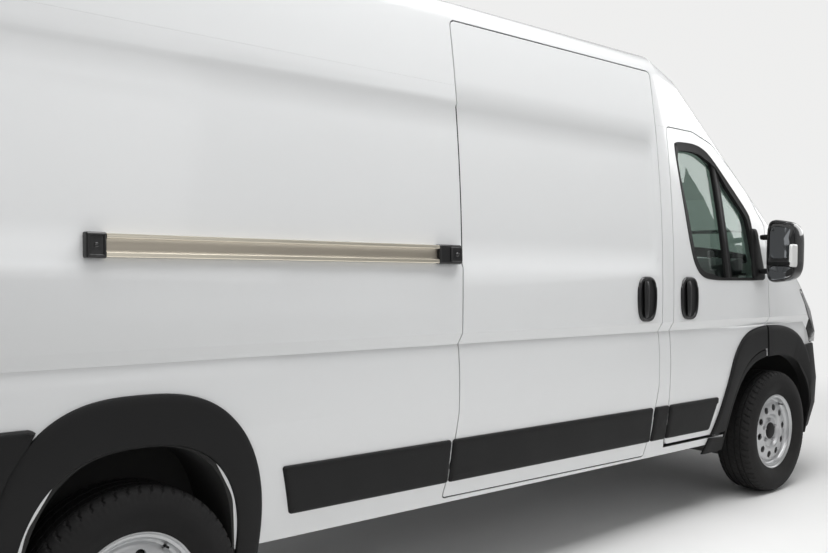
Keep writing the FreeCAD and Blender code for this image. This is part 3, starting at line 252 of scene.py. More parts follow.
def tail_lens():
    """Tail-lamp plastic: red above, amber and clear below by height, with fine upright ribs."""
    red = (0.40, 0.012, 0.012)
    made = material("tail_lens", red, 0.12, slot="red_lamp", Coat_Weight=0.7)
    tree = made.node_tree
    inputs = tree.nodes["Principled BSDF"].inputs
    place = node(tree, "ShaderNodeTexCoord").outputs["Object"]
    split = node(tree, "ShaderNodeSeparateXYZ", in_0=place)
    height = node(tree, "ShaderNodeMapRange", clamp=True, in_Value=split.outputs["Z"],
                  in_From_Min=0.80, in_From_Max=1.52)
    ramp = node(tree, "ShaderNodeValToRGB", in_Fac=height.outputs["Result"])
    ramp.color_ramp.interpolation = "CONSTANT"
    stops = ramp.color_ramp.elements
    stops.remove(stops[1])
    stops[0].color = (*red, 1)
    for at, color in ((0.24, (0.62, 0.62, 0.62)), (0.42, (0.70, 0.20, 0.02)), (0.62, red)):
        stops.new(at).color = (*color, 1)
    tree.links.new(ramp.outputs["Color"], inputs["Base Color"])
    ribs = node(tree, "ShaderNodeTexWave", bands_direction="Y", in_Scale=60.0, in_Vector=place)
    bump = node(tree, "ShaderNodeBump", in_Strength=0.35, in_Distance=0.0015,
                in_Height=ribs.outputs["Fac"])
    tree.links.new(bump.outputs["Normal"], inputs["Normal"])
    return made


material("white_paint", (0.80, 0.81, 0.815), 0.22, dusty=0.10, cloud=0.008, Coat_Weight=0.8,
         Coat_Roughness=0.04)
material("green_glass", (0.62, 0.74, 0.68), 0.0, Transmission_Weight=1.0, IOR=1.45)
material("body_primer", (0.62, 0.63, 0.64), 0.5, cloud=0.03)
material("chassis_black", (0.03, 0.03, 0.032), 0.5, dusty=0.4, cloud=0.15)
material("grey_plastic", (0.07, 0.072, 0.078), 0.6, cloud=0.05, grain=(800, 0.0005))
BLACK = material("black_plastic", (0.005, 0.005, 0.0053), 0.62, dusty=0.02, cloud=0.12,
                 cloud_scale=5, grain=(700, 0.0005), Specular_IOR_Level=0.3)
CLEAR = material("clear_lamp", (0.95, 0.96, 0.97), 0.0, Transmission_Weight=1.0, IOR=1.45)
RED = material("red_lamp", (0.42, 0.012, 0.012), 0.12, cloud=0.05, Coat_Weight=0.6)
FINISHES["red_lamp"] = tail_lens()
RAIL = material("rail_aluminium", (0.82, 0.76, 0.64), 0.32, metallic=1.0, cloud=0.05)
RUBBER = material("tyre_rubber", (0.0065, 0.0065, 0.007), 0.78, dusty=0.06, cloud=0.15,
                  cloud_scale=8, grain=(900, 0.0003), Specular_IOR_Level=0.25)
WHEEL = material("wheel_silver", (0.55, 0.56, 0.57), 0.36, metallic=0.75, dusty=0.25,
                 cloud=0.05, cloud_scale=9)
IRON = material("cast_iron", (0.16, 0.15, 0.145), 0.6, metallic=0.6, cloud=0.25,
                cloud_scale=14, grain=(260, 0.0008))
EXHAUST = material("exhaust_steel", (0.30, 0.27, 0.25), 0.45, metallic=0.9, cloud=0.25,
                   cloud_scale=7)
CLOTH = material("seat_cloth", (0.085, 0.088, 0.10), 0.9, cloud=0.15, cloud_scale=40,
                 weave=(2200, 0.0006), Sheen_Weight=0.3)
MIRROR_GLASS = material("mirror_glass", (0.20, 0.21, 0.22), 0.04, metallic=1.0,
                        slot="rail_aluminium", cloud=0.03)
GLOSS_BLACK = material("gloss_black", (0.012, 0.012, 0.013), 0.12, slot="black_plastic",
                       cloud=0.05, Coat_Weight=0.7)
LENS = material("clear_lens", (0.80, 0.80, 0.79), 0.10, slot="clear_lamp", cloud=0.03,
                Coat_Weight=0.6)
BOLT = material("bolt_steel", (0.52, 0.52, 0.53), 0.30, metallic=1.0, slot="wheel_silver",
                cloud=0.08, cloud_scale=60)
FELT = material("arch_felt", (0.018, 0.018, 0.018), 0.95, slot="black_plastic", dusty=0.12,
                cloud=0.2, cloud_scale=25, grain=(1400, 0.0012))
REFLECTOR = material("reflector", (0.82, 0.83, 0.85), 0.10, metallic=1.0, slot="wheel_silver",
                     cloud=0.03)
# The rail's inside: the rail's colour darkened as painted shade for the recess.
RAIL_PAINTED_SHADE = material("rail_channel_painted_shade", (0.56, 0.51, 0.43), 0.45, metallic=1.0,
                      slot="rail_aluminium", cloud=0.08)
LAMP_BOWL = material("lamp_bowl", (0.05, 0.05, 0.055), 0.25, metallic=0.5,
                     slot="black_plastic", cloud=0.10)
PLATE = material("blank_plate", (0.72, 0.72, 0.70), 0.35, slot="white_paint", cloud=0.02,
                 cloud_scale=12)
HANDLE_BLACK = material("handle_black", (0.007, 0.007, 0.0075), 0.32, slot="black_plastic",
                        cloud=0.12, cloud_scale=6, grain=(1500, 0.0002), Coat_Weight=0.15)
WINDOW_RUBBER = material("window_rubber", (0.008, 0.008, 0.008), 0.55, slot="black_plastic",
                         cloud=0.10, cloud_scale=9, Specular_IOR_Level=0.3)


# Mesh helpers
def joined(*parts):
    """Arrays spread to one shape and made the last axis of a new one."""
    return np.stack(np.broadcast_arrays(*parts), axis=-1)


def grid_faces(rows, columns, wrap_rows, wrap_columns):
    """Quads over a grid of points, joined round where a direction wraps."""
    i, j = np.meshgrid(np.arange(rows if wrap_rows else rows - 1),
                       np.arange(columns if wrap_columns else columns - 1), indexing="ij")
    down, right = (i + 1) % rows, (j + 1) % columns
    return np.stack([i * columns + j, down * columns + j, down * columns + right,
                     i * columns + right], axis=-1).reshape(-1, 4)


def hung(name, mesh, body, finish, sharp):
    """A smooth-shaded piece of one finish from a mesh, hung on its body."""
    mesh.name = name
    mesh.materials.clear()
    mesh.materials.append(finish)
    if mesh.has_custom_normals:
        mesh.attributes.remove(mesh.attributes["custom_normal"])
    mesh.shade_smooth()
    mesh.set_sharp_from_angle(angle=math.radians(sharp))
    piece = bpy.data.objects.new(name, mesh)
    bpy.context.collection.objects.link(piece)
    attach(piece, body)
    return piece


def new_piece(name, grids, body, finish, sharp=35.0, place=placed):
    """One piece from grids of points, each with its two wrap flags. Doubles are merged, open
    ends closed and the faces turned outwards."""
    points, faces, start = [], [], 0
    for grid, wrap_rows, wrap_columns in grids:
        rows, columns = grid.shape[:2]
        points.append(place(grid.reshape(-1, 3)))
        faces.append(grid_faces(rows, columns, wrap_rows, wrap_columns) + start)
        start += rows * columns
    mesh = bpy.data.meshes.new(name)
    mesh.from_pydata(np.concatenate(points).tolist(), [], np.concatenate(faces).tolist())
    shape = bmesh.new()
    shape.from_mesh(mesh)
    bmesh.ops.remove_doubles(shape, verts=shape.verts, dist=1e-5)
    rim = [edge for edge in shape.edges if edge.is_boundary]
    if rim:
        bmesh.ops.holes_fill(shape, edges=rim)
    bmesh.ops.recalc_face_normals(shape, faces=shape.faces)
    shape.to_mesh(mesh)
    shape.free()
    return hung(name, mesh, body, finish, sharp)


def node_copy(name, node_name, finish, sharp=30.0, keep=None):
    """A merged, smooth-shaded copy of a CAD node in its place, or of the faces keep picks."""
    source = frame["nodes"][node_name]
    mesh = source.data.copy()
    shape = bmesh.new()
    shape.from_mesh(mesh)
    bmesh.ops.remove_doubles(shape, verts=shape.verts, dist=2e-6)
    if keep:
        shape.normal_update()
        gone = [face for face in shape.faces if not keep(face)]
        bmesh.ops.delete(shape, geom=gone, context="FACES")
    shape.to_mesh(mesh)
    shape.free()
    return hung(name, mesh, source["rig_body"], finish, sharp)


def stands_for(piece, node_name):
    """Show a piece in place of a CAD node."""
    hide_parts(node_name)
    stood_for.add(node_name)


def whole_turn(count):
    """Angles spread evenly over one turn, the end left out."""
    return np.linspace(0, 2 * math.pi, count, endpoint=False)


def soft(value, power):
    """A sine or cosine raised to a power with its sign kept, which squares a circle's sides."""
    return np.sign(value) * np.abs(value) ** power


def block(centre, half, power=0.35, rows=16, columns=32):
    """A rounded block: each axis is a cosine or sine of two angles raised to a small power."""
    u = np.linspace(-math.pi / 2, math.pi / 2, rows)[:, None]
    v = whole_turn(columns)[None, :]
    ring = soft(np.cos(u), power)
    ball = joined(ring * soft(np.cos(v), power), ring * soft(np.sin(v), power),
                  soft(np.sin(u), power))
    return ball * np.array(half) + np.array(centre), False, True


def turned(profile, centre, count, axis="y", side=1, closed=False):
    """A profile (radius, distance along the axis) turned round an axis through centre."""
    radius, along = np.array(profile, dtype=float).T
    angle = whole_turn(count)[:, None]
    a, b, c = radius * np.cos(angle), radius * np.sin(angle), side * along
    order = {"x": (c, a, b), "y": (a, c, b), "z": (a, b, c)}[axis]
    return joined(*order) + np.array(centre), True, closed


def around(profile, centre, radius, turns, count, side):
    """A turned profile repeated on a circle about a wheel's axle."""
    x, y, z = centre
    return [turned(profile, (x + radius * math.cos(turn), y, z + radius * math.sin(turn)), count,
                   side=side) for turn in turns]


def evenly(points, count):
    """A line of points spread evenly again by length."""
    steps = np.r_[0, np.cumsum(np.linalg.norm(np.diff(points, axis=0), axis=1))]
    at = np.linspace(0, steps[-1], count)
    return joined(*[np.interp(at, steps, points[:, k]) for k in range(points.shape[1])])


def smooth_line(points, count):
    """A cubic line through its points, each stretch leaning on the two beside it."""
    p = np.array(points, dtype=float)
    p = np.concatenate([[2 * p[0] - p[1]], p, [2 * p[-1] - p[-2]]])
    t = np.linspace(0, 1, 24, endpoint=False)[:, None]
    parts = []
    for i in range(len(p) - 3):
        a, b, c, d = p[i:i + 4]
        parts.append(0.5 * (2 * b + (c - a) * t + (2 * a - 5 * b + 4 * c - d) * t ** 2
                            + (3 * b - a - 3 * c + d) * t ** 3))
    return evenly(np.concatenate(parts + [p[-2][None]]), count)


def heading(line):
    """Unit directions along an open line."""
    ahead = np.gradient(line, axis=0)
    return ahead / np.linalg.norm(ahead, axis=1, keepdims=True)


def widened(line, width):
    """A side-view line moved to its left by a width that may change along it."""
    ahead = heading(line)
    return line + joined(-ahead[:, 1], ahead[:, 0]) * np.reshape(width, (-1, 1))


def tube(path, radius, count=12):
    """A round tube along a smooth line: rings stand square to the line's direction."""
    line = smooth_line(path, 40)
    ahead = heading(line)
    up = np.where(np.abs(ahead[:, 2:]) > 0.9, np.array([[1.0, 0, 0]]), np.array([[0, 0, 1.0]]))
    one = np.cross(ahead, up)
    one /= np.linalg.norm(one, axis=1, keepdims=True)
    two = np.cross(ahead, one)
    turn = whole_turn(count)[None, :, None]
    ring = one[:, None] * np.cos(turn) + two[:, None] * np.sin(turn)
    return line[:, None] + radius * ring, False, True


# Wheels
TREAD_PITCHES = 56
GROOVES = ((0.018, 0.027), (0.053, 0.062))
GROOVE_DEEP, SLOT_DEEP, SIPE_DEEP = 0.0075, 0.006, 0.003
BEAD_R, SHOULDER_R, CROWN_RISE = 0.2052, 0.345, 0.015
BEAD_HALF, TREAD_HALF, MIDDLE_HALF = 0.074, 0.098, 0.0625
WALL_BULGE = 0.0262
WALL_STEPS = ((0.2395, 0.0012), (0.312, 0.0010))  # radius, height
RIB_FROM_R, RIB_HIGH = 0.322, 0.0012
TREAD_SLANT = 9.0
WHEELS = {
    "front_left": (0.0, WHEEL_Z, FRONT_HALF_TRACK, 1),
    "front_right": (0.0, WHEEL_Z, FRONT_HALF_TRACK, -1),
    "rear_left": (-WHEELBASE, REAR_WHEEL_Z, REAR_HALF_TRACK, 1),
    "rear_right": (-WHEELBASE, REAR_WHEEL_Z, REAR_HALF_TRACK, -1),
}


def tyre_grid(centre, per_pitch):
    """A tyre in rounds of a bead-to-bead section.

    Sidewall: the width grows from the bead by a half sine to its widest and back to the
    shoulder. Tread: the radius falls from the middle with the sixth power of the width, and
    drops by a groove's depth in four straight grooves and in slanting slots, which repeat
    at every pitch. Fine ribs near the shoulder repeat twice a pitch.
    """
    s = np.linspace(0, 1, 22)
    wall_r = BEAD_R + (SHOULDER_R - BEAD_R) * s
    wall_a = BEAD_HALF + (TREAD_HALF - BEAD_HALF) * s + WALL_BULGE * np.sin(math.pi * s)
    for middle, high in WALL_STEPS:
        wall_a += high * (np.abs(wall_r - middle) < 0.004)
    edges = [0.0945, 0.090, 0.084, 0.076, 0.069, MIDDLE_HALF]
    in_between = [0.009, 0.0], [0.040]
    for (low, high), flat in reversed(list(zip(GROOVES, in_between))):
        edges += [high + 0.0003, high - 0.0003, low + 0.0003, low - 0.0003] + flat
    tread_a = np.array(edges)
    in_groove = sum((tread_a > low) & (tread_a < high) for low, high in GROOVES)
    tread_r = SHOULDER_R + CROWN_RISE * (1 - (tread_a / TREAD_HALF) ** 6)
    half_r = np.r_[wall_r, tread_r - GROOVE_DEEP * in_groove]
    half_a = np.r_[wall_a, tread_a]
    radius = np.r_[half_r, half_r[-2::-1]][None]
    across = np.r_[half_a, -half_a[-2::-1]][None]
    count = TREAD_PITCHES * per_pitch
    turn = np.arange(count)[:, None] / count
    skew = (turn * TREAD_PITCHES + across * TREAD_SLANT) % 1.0
    on_tread = radius > SHOULDER_R - 0.0005
    slot = (skew < 0.24) & (np.abs(across) > MIDDLE_HALF) & on_tread
    sipe = (skew < 0.13) & (np.abs(across) < MIDDLE_HALF) & (radius > 0.356)
    rib = ((turn * TREAD_PITCHES * 2) % 1.0 < 0.5) & (radius > RIB_FROM_R) & ~on_tread
    r = radius - SLOT_DEEP * slot - SIPE_DEEP * sipe
    a = across + RIB_HIGH * np.sign(across) * rib
    angle = 2 * math.pi * turn
    return joined(r * np.cos(angle), a, r * np.sin(angle)) + np.array(centre), True, True


RIM_FACE = (
    # radius, distance outwards from the wheel's middle plane: front face, then back face
    (0.2200, 0.0835), (0.2185, 0.0858), (0.2160, 0.0860), (0.2130, 0.0840), (0.2100, 0.0805),
    (0.2040, 0.0790), (0.2005, 0.0770), (0.1990, 0.0700), (0.1978, 0.0640), (0.1945, 0.0580),
    (0.1890, 0.0535), (0.1845, 0.0515), (0.1815, 0.0525), (0.1780, 0.0560), (0.1730, 0.0590),
    (0.1660, 0.0610), (0.1400, 0.0645), (0.1150, 0.0665), (0.1065, 0.0660), (0.1010, 0.0630),
    (0.0965, 0.0560), (0.0930, 0.0500), (0.0890, 0.0475), (0.0620, 0.0470), (0.0560, 0.0490),
    (0.0520, 0.0540), (0.0490, 0.0565), (0.0350, 0.0570), (0.0340, 0.0560), (0.0340, 0.0375),
    (0.0350, 0.0370), (0.0880, 0.0370), (0.0960, 0.0400), (0.1040, 0.0530), (0.1100, 0.0570),
    (0.1400, 0.0550), (0.1640, 0.0515), (0.1700, 0.0470), (0.1760, 0.0410), (0.1830, 0.0400),
    (0.1830, -0.0480), (0.1980, -0.0620), (0.2000, -0.0810), (0.2195, -0.0860),
    (0.2200, -0.0812), (0.2051, -0.0770), (0.2029, -0.0600), (0.1880, -0.0440),
    (0.1880, 0.0420), (0.2029, 0.0580), (0.2051, 0.0770), (0.2200, 0.0812),
)
RIM_SHARP = 24
VENTS = 10
VENT_CIRCLE = 0.140
BOLT_CIRCLE = 0.066
VALVE_CIRCLE = 0.186


def make_rim(name, centre, side):
    """A pressed steel wheel: the face's line turned about the axle, then ten vents cut out."""
    body = name + "_wheel"
    rim = new_piece(name + "_rim", [turned(RIM_FACE, centre, 144, side=side, closed=True)], body,
                    WHEEL, RIM_SHARP)
    plug = ((0, 0.030), (0.020, 0.030), (0.020, 0.080), (0, 0.080))
    turns = (np.arange(VENTS) + 0.25) * 2 * math.pi / VENTS
    cutter = new_piece(name + "_vent_cutter", around(plug, centre, VENT_CIRCLE, turns, 28, side),
                       body, WHEEL)
    cut = rim.modifiers.new("vents", "BOOLEAN")
    cut.object = cutter
    cut.operation = "DIFFERENCE"
    cut.solver = "EXACT"
    with bpy.context.temp_override(object=rim, active_object=rim):
        bpy.ops.object.modifier_apply(modifier="vents")
    bpy.data.objects.remove(cutter)
    rim.data.shade_smooth()
    rim.data.set_sharp_from_angle(angle=math.radians(RIM_SHARP))
    stands_for(rim, "rim_" + name)


def make_wheels():
    """Four road tyres with their rims, hub caps, wheel bolts and valves."""
    cap = ((0, 0.0680), (0.030, 0.0675), (0.041, 0.0645), (0.0475, 0.0600), (0.0500, 0.0565),
           (0.0500, 0.0500))
    bolt = ((0, 0.0640), (0.006, 0.0635), (0.0095, 0.0615), (0.0105, 0.0570), (0.0105, 0.0480),
            (0.0140, 0.0470), (0.0140, 0.0445))
    valve = ((0, 0.0920), (0.0035, 0.0915), (0.0040, 0.0700), (0.0052, 0.0690), (0.0052, 0.0500))
    bolt_turns = np.arange(5) * 2 * math.pi / 5 + math.pi / 2
    for name, (x, z, track, side) in WHEELS.items():
        body = name + "_wheel"
        y = side * track
        at = (x, y, z)
        tyre = new_piece(name + "_tread", [tyre_grid(at, 8)], body, RUBBER, 28)
        stands_for(tyre, "tyre_" + name)
        make_rim(name, at, side)
        new_piece(name + "_hub_cap", [turned(cap, at, 48, side=side)], body, BLACK)
        new_piece(name + "_bolts", around(bolt, at, BOLT_CIRCLE, bolt_turns, 18, side), body, BOLT)
        inset = (x, y - side * 0.012, z)
        new_piece(name + "_valve",
                  around(valve, inset, VALVE_CIRCLE, [math.radians(54)], 12, side), body, BLACK)


def make_spare():
    """The spare's tyre, lying flat under the tail."""
    low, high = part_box("spare_wheel")
    grid, wrap_rows, wrap_columns = tyre_grid((0, 0, 0), 4)
    flat = swung(grid[..., [0, 2, 1]], RAKE, 2, 0) + np.array((low + high) / 2)
    spare = new_piece("spare_tread", [(flat, wrap_rows, wrap_columns)], "body", RUBBER, 28,
                      place=np.asarray)
    stands_for(spare, "spare_wheel")


# The body's sides
ARCH_FOOT = 0.300
SILL_Z, SILL_HALF = 0.350, 0.945
GROOVE_Z, GROOVE_WIDER = 0.985, 0.043
SIDE_BULGE = 0.028
NOSE_X = (-0.960, -0.700, -0.455, -0.040, 0.424, 0.640)
NOSE_NARROWER = (0.002, 0.004, 0.007, 0.014, 0.038, 0.085)
BELT_Z = 1.046
SIDE_ARC_R = 7.15
BODY_X = (-5.010, -4.985, -4.920, -1.190, -0.960, -0.700, -0.455, -0.040, 0.424)
BELT_HALF = (0.958, 0.990, 1.010, 1.010, 1.008, 1.006, 1.003, 0.996, 0.972)
CANT_HALF = (0.855, 0.882, 0.901, 0.901, 0.897, 0.917, 0.932, 0.950, 0.935)
CANT_Z = (2.318, 2.326, 2.330, 2.330, 2.240, 2.045, 1.870, 1.570, 1.200)


def side_half(x, z):
    """Half width of the lower side: a chord from sill to groove, bulged as a parabola, less
    the nose's taper."""
    t = np.clip((z - SILL_Z) / (GROOVE_Z - SILL_Z), -0.1, 1.02)
    return (SILL_HALF - np.interp(x, NOSE_X, NOSE_NARROWER) + GROOVE_WIDER * t
            + 4 * SIDE_BULGE * t * (1 - t))


def upper_half(x, z):
    """Half width above the belt: a chord from belt to pillar or roof edge, their places
    read off along the van, standing proud of it as an arc of SIDE_ARC_R does."""
    belt, cant = np.interp(x, BODY_X, BELT_HALF), np.interp(x, BODY_X, CANT_HALF)
    rise = np.interp(x, BODY_X, CANT_Z) - BELT_Z
    t = (z - BELT_Z) / rise
    proud = (rise ** 2 + (belt - cant) ** 2) / (2 * SIDE_ARC_R)
    return belt + (cant - belt) * t + proud * t * (1 - t)


def body_half(x, z):
    """Half width at any height: the upper side above the belt, the lower side below it."""
    return np.where(z > BELT_Z, upper_half(x, z), side_half(x, z))


def nose_half(x, z):
    """The body's side, and over the bumper the bumper's own side with a small step."""
    bumper = np.interp(z, (0.290, 0.480, 0.640, 0.856, 0.900), (0.945, 0.980, 0.986, 0.966, 0.90))
    return np.where((z < 0.90) & (x > 0.25), np.maximum(side_half(x, z), bumper), side_half(x, z))


def on_skin(flat, out, side, half):
    """Side-view points put on the body's side, each out by its own distance."""
    y = half(flat[..., 0], flat[..., 1]) + np.array(out)
    return joined(flat[..., 0], side * y, flat[..., 1])


def shrunk(outline, inset):
    """A closed outline moved inwards by each inset in turn, one copy for each."""
    after = np.roll(outline, -1, axis=0)
    ahead = after - np.roll(outline, 1, axis=0)
    ahead /= np.linalg.norm(ahead, axis=1, keepdims=True)
    inwards = joined(-ahead[:, 1], ahead[:, 0])
    area = np.sum(outline[:, 0] * after[:, 1] - outline[:, 1] * after[:, 0])
    return outline[:, None] + np.sign(area) * inwards[:, None] * np.array(inset)[None, :, None]


def moulding(outline, section, side, half=side_half):
    """A closed moulding: the section gives inset and height in turn, from the foot inwards
    to the last inset, then a flat middle drawn to the outline's centre."""
    insets, heights = np.array(section).T
    rings = shrunk(outline, insets)
    centre = outline.mean(axis=0)
    tip = rings[:, -1:] * 0 + centre
    flat = np.concatenate([tip, (rings[:, :1] + centre) / 2, rings, (rings[:, -1:] + centre) / 2,
                           tip], axis=1)
    low, high = heights[0], heights[-1]
    out = np.r_[low, low, heights, high, high]
    return on_skin(flat, out, side, half), True, False


def rounded_box(x0, x1, z0, z1, radius, count=96, taper=(0, 0, 0, 0)):
    """A rectangle with round corners; taper moves the rear and front ends' tops and feet."""
    corner = np.arange(count) * 4 // count
    at = corner * math.pi / 2 + (whole_turn(count) - corner * math.pi / 2) / (1 - 4 / count)
    low_x, high_x, low_z, high_z = x0 + radius, x1 - radius, z0 + radius, z1 - radius
    x = np.array([high_x, low_x, low_x, high_x])[corner] + radius * np.cos(at)
    z = np.array([high_z, high_z, low_z, low_z])[corner] + radius * np.sin(at)
    up = (z - z0) / (z1 - z0)
    front = (x - x0) / (x1 - x0)
    rear_top, rear_foot, front_top, front_foot = taper
    x = x + (1 - front) * (rear_foot * (1 - up) + rear_top * up)
    x = x + front * (front_foot * (1 - up) + front_top * up)
    return joined(x, z)


def loop(points, count):
    """A smooth closed line through points, evenly spaced."""
    p = np.array(points, dtype=float)
    closed = smooth_line(np.concatenate([p[-2:], p, p[:2]]), 40 * (len(p) + 3))
    away = np.linalg.norm(closed - p[0], axis=1)
    near = 120  # points at each end among which the line passes its start
    first, last = np.argmin(away[:near]), len(closed) - near + np.argmin(away[-near:])
    return evenly(closed[first:last + 1], count + 1)[:-1]


# Wheel arches
ARCH_ACROSS = np.array([0, 0, 0.02, 0.08, 0.80, 0.93, 0.985, 1.0, 1.0, 0.05, 0.05])
ARCH_OUT = np.array([-0.050, 0.004, 0.010, 0.013, 0.016, 0.0155, 0.011, 0.004, 0.0003, 0.0003,
                     -0.050])
DOOR_GAP_X, DOOR_FOOT_Z = -0.106, 0.396
GAP = 0.003
LINING = ((0.3615, 0.300), (0.357, 0.350), (0.349, 0.400), (0.340, 0.450), (0.329, 0.500),
          (0.313, 0.550), (0.287, 0.605), (0.245, 0.660), (0.175, 0.712), (0.090, 0.737),
          (0.0, 0.743))
FELT_WALL_Y = 0.7215
FELT_THICK = 0.003


def arch_line(centre, rear, front, top, power, count=90):
    """A wheel opening's edge: half a superellipse, its rear and front reach apart."""
    angle = np.linspace(math.pi, 0, count)
    c, s = np.cos(angle), np.sin(angle)
    x = centre + np.where(c < 0, rear, front) * soft(c, 2 / power)
    z = ARCH_FOOT + (top - ARCH_FOOT) * soft(s, 2 / power)
    return evenly(joined(x, z), count)


def arch_grid(inner, outer, side, lift=0.0, half=side_half):
    """A moulding swept along an arch: straight lines from the inner to the outer edge carry
    a closed section, whose second value is its distance out from the body's side."""
    across = ARCH_ACROSS[None, :, None]
    flat = inner[:, None] * (1 - across) + outer[:, None] * across
    return on_skin(flat, ARCH_OUT + lift, side, half), False, True


def part_of(line, keep, count=60):
    """The kept stretch of a line, spread evenly again."""
    return evenly(line[keep], count)


def make_arches():
    """Black arch mouldings, the dark felt in the rear arches, and the door's own share."""
    rear_in = arch_line(-WHEELBASE, 0.370, 0.370, 0.745, 2.6)
    rear_out = arch_line(-WHEELBASE, 0.460, 0.458, 0.907, 2.7)
    front_in = arch_line(0.0, 0.492, 0.462, 0.813, 2.7)
    lip = widened(front_in, np.interp(front_in[:, 1], (0.30, 0.62, 0.81), (0.026, 0.030, 0.045)))
    outline = smooth_line(((-0.722, ARCH_FOOT), (-0.640, 0.470), (-0.562, 0.670), (-0.478, 0.850),
                           (-0.345, 0.954), (-0.150, 0.993), (0.060, 0.991), (0.240, 0.960),
                           (0.380, 0.885), (0.440, 0.770), (0.452, 0.620), (0.440, ARCH_FOOT)),
                          240)
    behind_gap = front_in[:, 0] < DOOR_GAP_X + GAP
    wing_in = part_of(front_in, front_in[:, 0] > DOOR_GAP_X + GAP)
    wing_out = part_of(outline, outline[:, 0] > DOOR_GAP_X + GAP)
    low_in, low_out = (part_of(line, (line[:, 0] < 0) & (line[:, 1] < DOOR_FOOT_Z - GAP), 8)
                       for line in (lip, outline))
    door_in, door_out = (
        part_of(moved, (line[:, 0] < DOOR_GAP_X - GAP) & (line[:, 1] > DOOR_FOOT_Z + GAP))
        for line, moved in ((lip, widened(lip, 0.004)), (outline, outline)))
    lining = smooth_line([(-WHEELBASE - reach, z) for reach, z in LINING]
                         + [(-WHEELBASE + reach, z) for reach, z in LINING[-2::-1]], 90)
    outside, hem = widened(lining, FELT_THICK), widened(rear_in, 0.004)
    hub = np.broadcast_to(np.array([-WHEELBASE, ARCH_FOOT]), lining.shape)
    skin = side_half(*lining.T)
    proud, under = skin + 0.0015, skin - FELT_THICK
    back = FELT_WALL_Y - FELT_THICK
    columns = ((hub, FELT_WALL_Y), (lining, FELT_WALL_Y), (lining, proud), (hem, proud),
               (hem, under), (outside, under), (outside, back), (hub, back))
    for side, name in SIDES:
        rings = [arch_grid(rear_in, rear_out, side),
                 arch_grid(wing_in, wing_out, side, half=nose_half),
                 arch_grid(part_of(front_in, behind_gap), part_of(lip, behind_gap), side, -0.010),
                 arch_grid(low_in, low_out, side)]
        new_piece("arch_rings_" + name, rings, "body", BLACK, 40)
        new_piece("door_arch_" + name, [arch_grid(door_in, door_out, side)],
                  "front_%s_door" % name, BLACK, 40)
        felt = np.stack([joined(line[:, 0], side * y, line[:, 1]) for line, y in columns], axis=1)
        new_piece("rear_arch_felt_" + name, [(felt, False, True)], "body", FELT, 50)
    stands_for(bpy.data.objects["arch_rings_right"], "arch_trims")


# Mouldings and handles
BAND_SECTION = ((0, 0.0005), (0, 0.006), (0.003, 0.011), (0.009, 0.0145), (0.014, 0.0155),
                (0.030, 0.0155))
BAND_LOW, BAND_HIGH = 0.438, 0.616
BAND_SPANS = {
    # rear end, front end, taper
    "left": ((-3.520, -1.141, (0.008, 0.055, 0, 0)),),
    "right": ((-3.520, -2.703, (0.008, 0.055, 0, 0.004)), (-2.693, -1.285, (0, 0.002, 0, 0.008)),
              (-1.262, -1.141, (0, -0.004, 0, 0))),
}
TAIL_CORNER = ((-4.958, 0.400), (-4.958, 0.836), (-4.368, 0.836), (-4.352, 0.826),
               (-4.372, 0.785), (-4.418, 0.712), (-4.452, 0.640), (-4.476, 0.560),
               (-4.4875, 0.470), (-4.490, 0.400), (-4.958, 0.400))


def make_bands():
    """Black rubbing bands low on both sides, and the corner mouldings behind the arches."""
    tail = evenly(np.array(TAIL_CORNER), 161)[:-1]
    for side, name in SIDES:
        bands = [moulding(rounded_box(x0, x1, BAND_LOW, BAND_HIGH, 0.012, taper=taper),
                          BAND_SECTION, side) for x0, x1, taper in BAND_SPANS[name]]
        bands.append(moulding(tail, BAND_SECTION, side))
        new_piece("bands_" + name, bands, "body", BLACK, 30)
        door = moulding(rounded_box(-1.130, -0.648, BAND_LOW, BAND_HIGH, 0.014,
                                    taper=(0, 0, 0, -0.062)), BAND_SECTION, side)
        new_piece("door_band_" + name, [door], "front_%s_door" % name, BLACK, 30)
    stands_for(bpy.data.objects["bands_right"], "side_trims")


HANDLE_SECTION = ((0, 0.0005), (0, 0.006), (0.002, 0.0105), (0.005, 0.0125), (0.009, 0.0130),
                  (0.0125, 0.0115), (0.015, 0.0030), (0.022, 0.0016), (0.036, 0.0012))
HANDLE_Z, HANDLE_TALL = 1.167, 0.112


def handle_grids(x0, x1, side):
    """A door handle: an upright oval dish, narrower at its foot, with a crowned grip in it."""
    mid, wide = (x0 + x1) / 2, (x1 - x0) / 2
    turn = whole_turn(96)
    z = HANDLE_Z + HANDLE_TALL * soft(np.sin(turn), 2 / 3.4)
    shape = wide * (1 - 0.10 * (HANDLE_Z - z) / HANDLE_TALL * (z < HANDLE_Z) - 0.05 * (z > 1.23))
    x = mid + shape * soft(np.cos(turn), 2 / 3.0)
    dish = moulding(joined(x, z), HANDLE_SECTION, side, upper_half)
    u = np.linspace(-1, 1, 33)[:, None]
    v = whole_turn(28)[None]
    size = (1 - np.abs(u) ** 6) ** 0.5
    grip = joined(mid - 0.012 + (0.020 + 0.004 * u) * np.cos(v) * size, 1.165 + 0.094 * u)
    out = 0.0095 + 0.0085 * np.sin(v) * size * (1 - 0.35 * u ** 4)
    return [dish, (on_skin(grip, out, side, upper_half), False, True)]


def make_handles():
    """The handles of both cab doors and of the sliding door."""
    for side, name in SIDES:
        new_piece("door_handle_" + name, handle_grids(-1.074, -0.911, side),
                  "front_%s_door" % name, HANDLE_BLACK, 50)
    new_piece("sliding_handle", handle_grids(-1.460, -1.303, -1), "body", HANDLE_BLACK, 50)


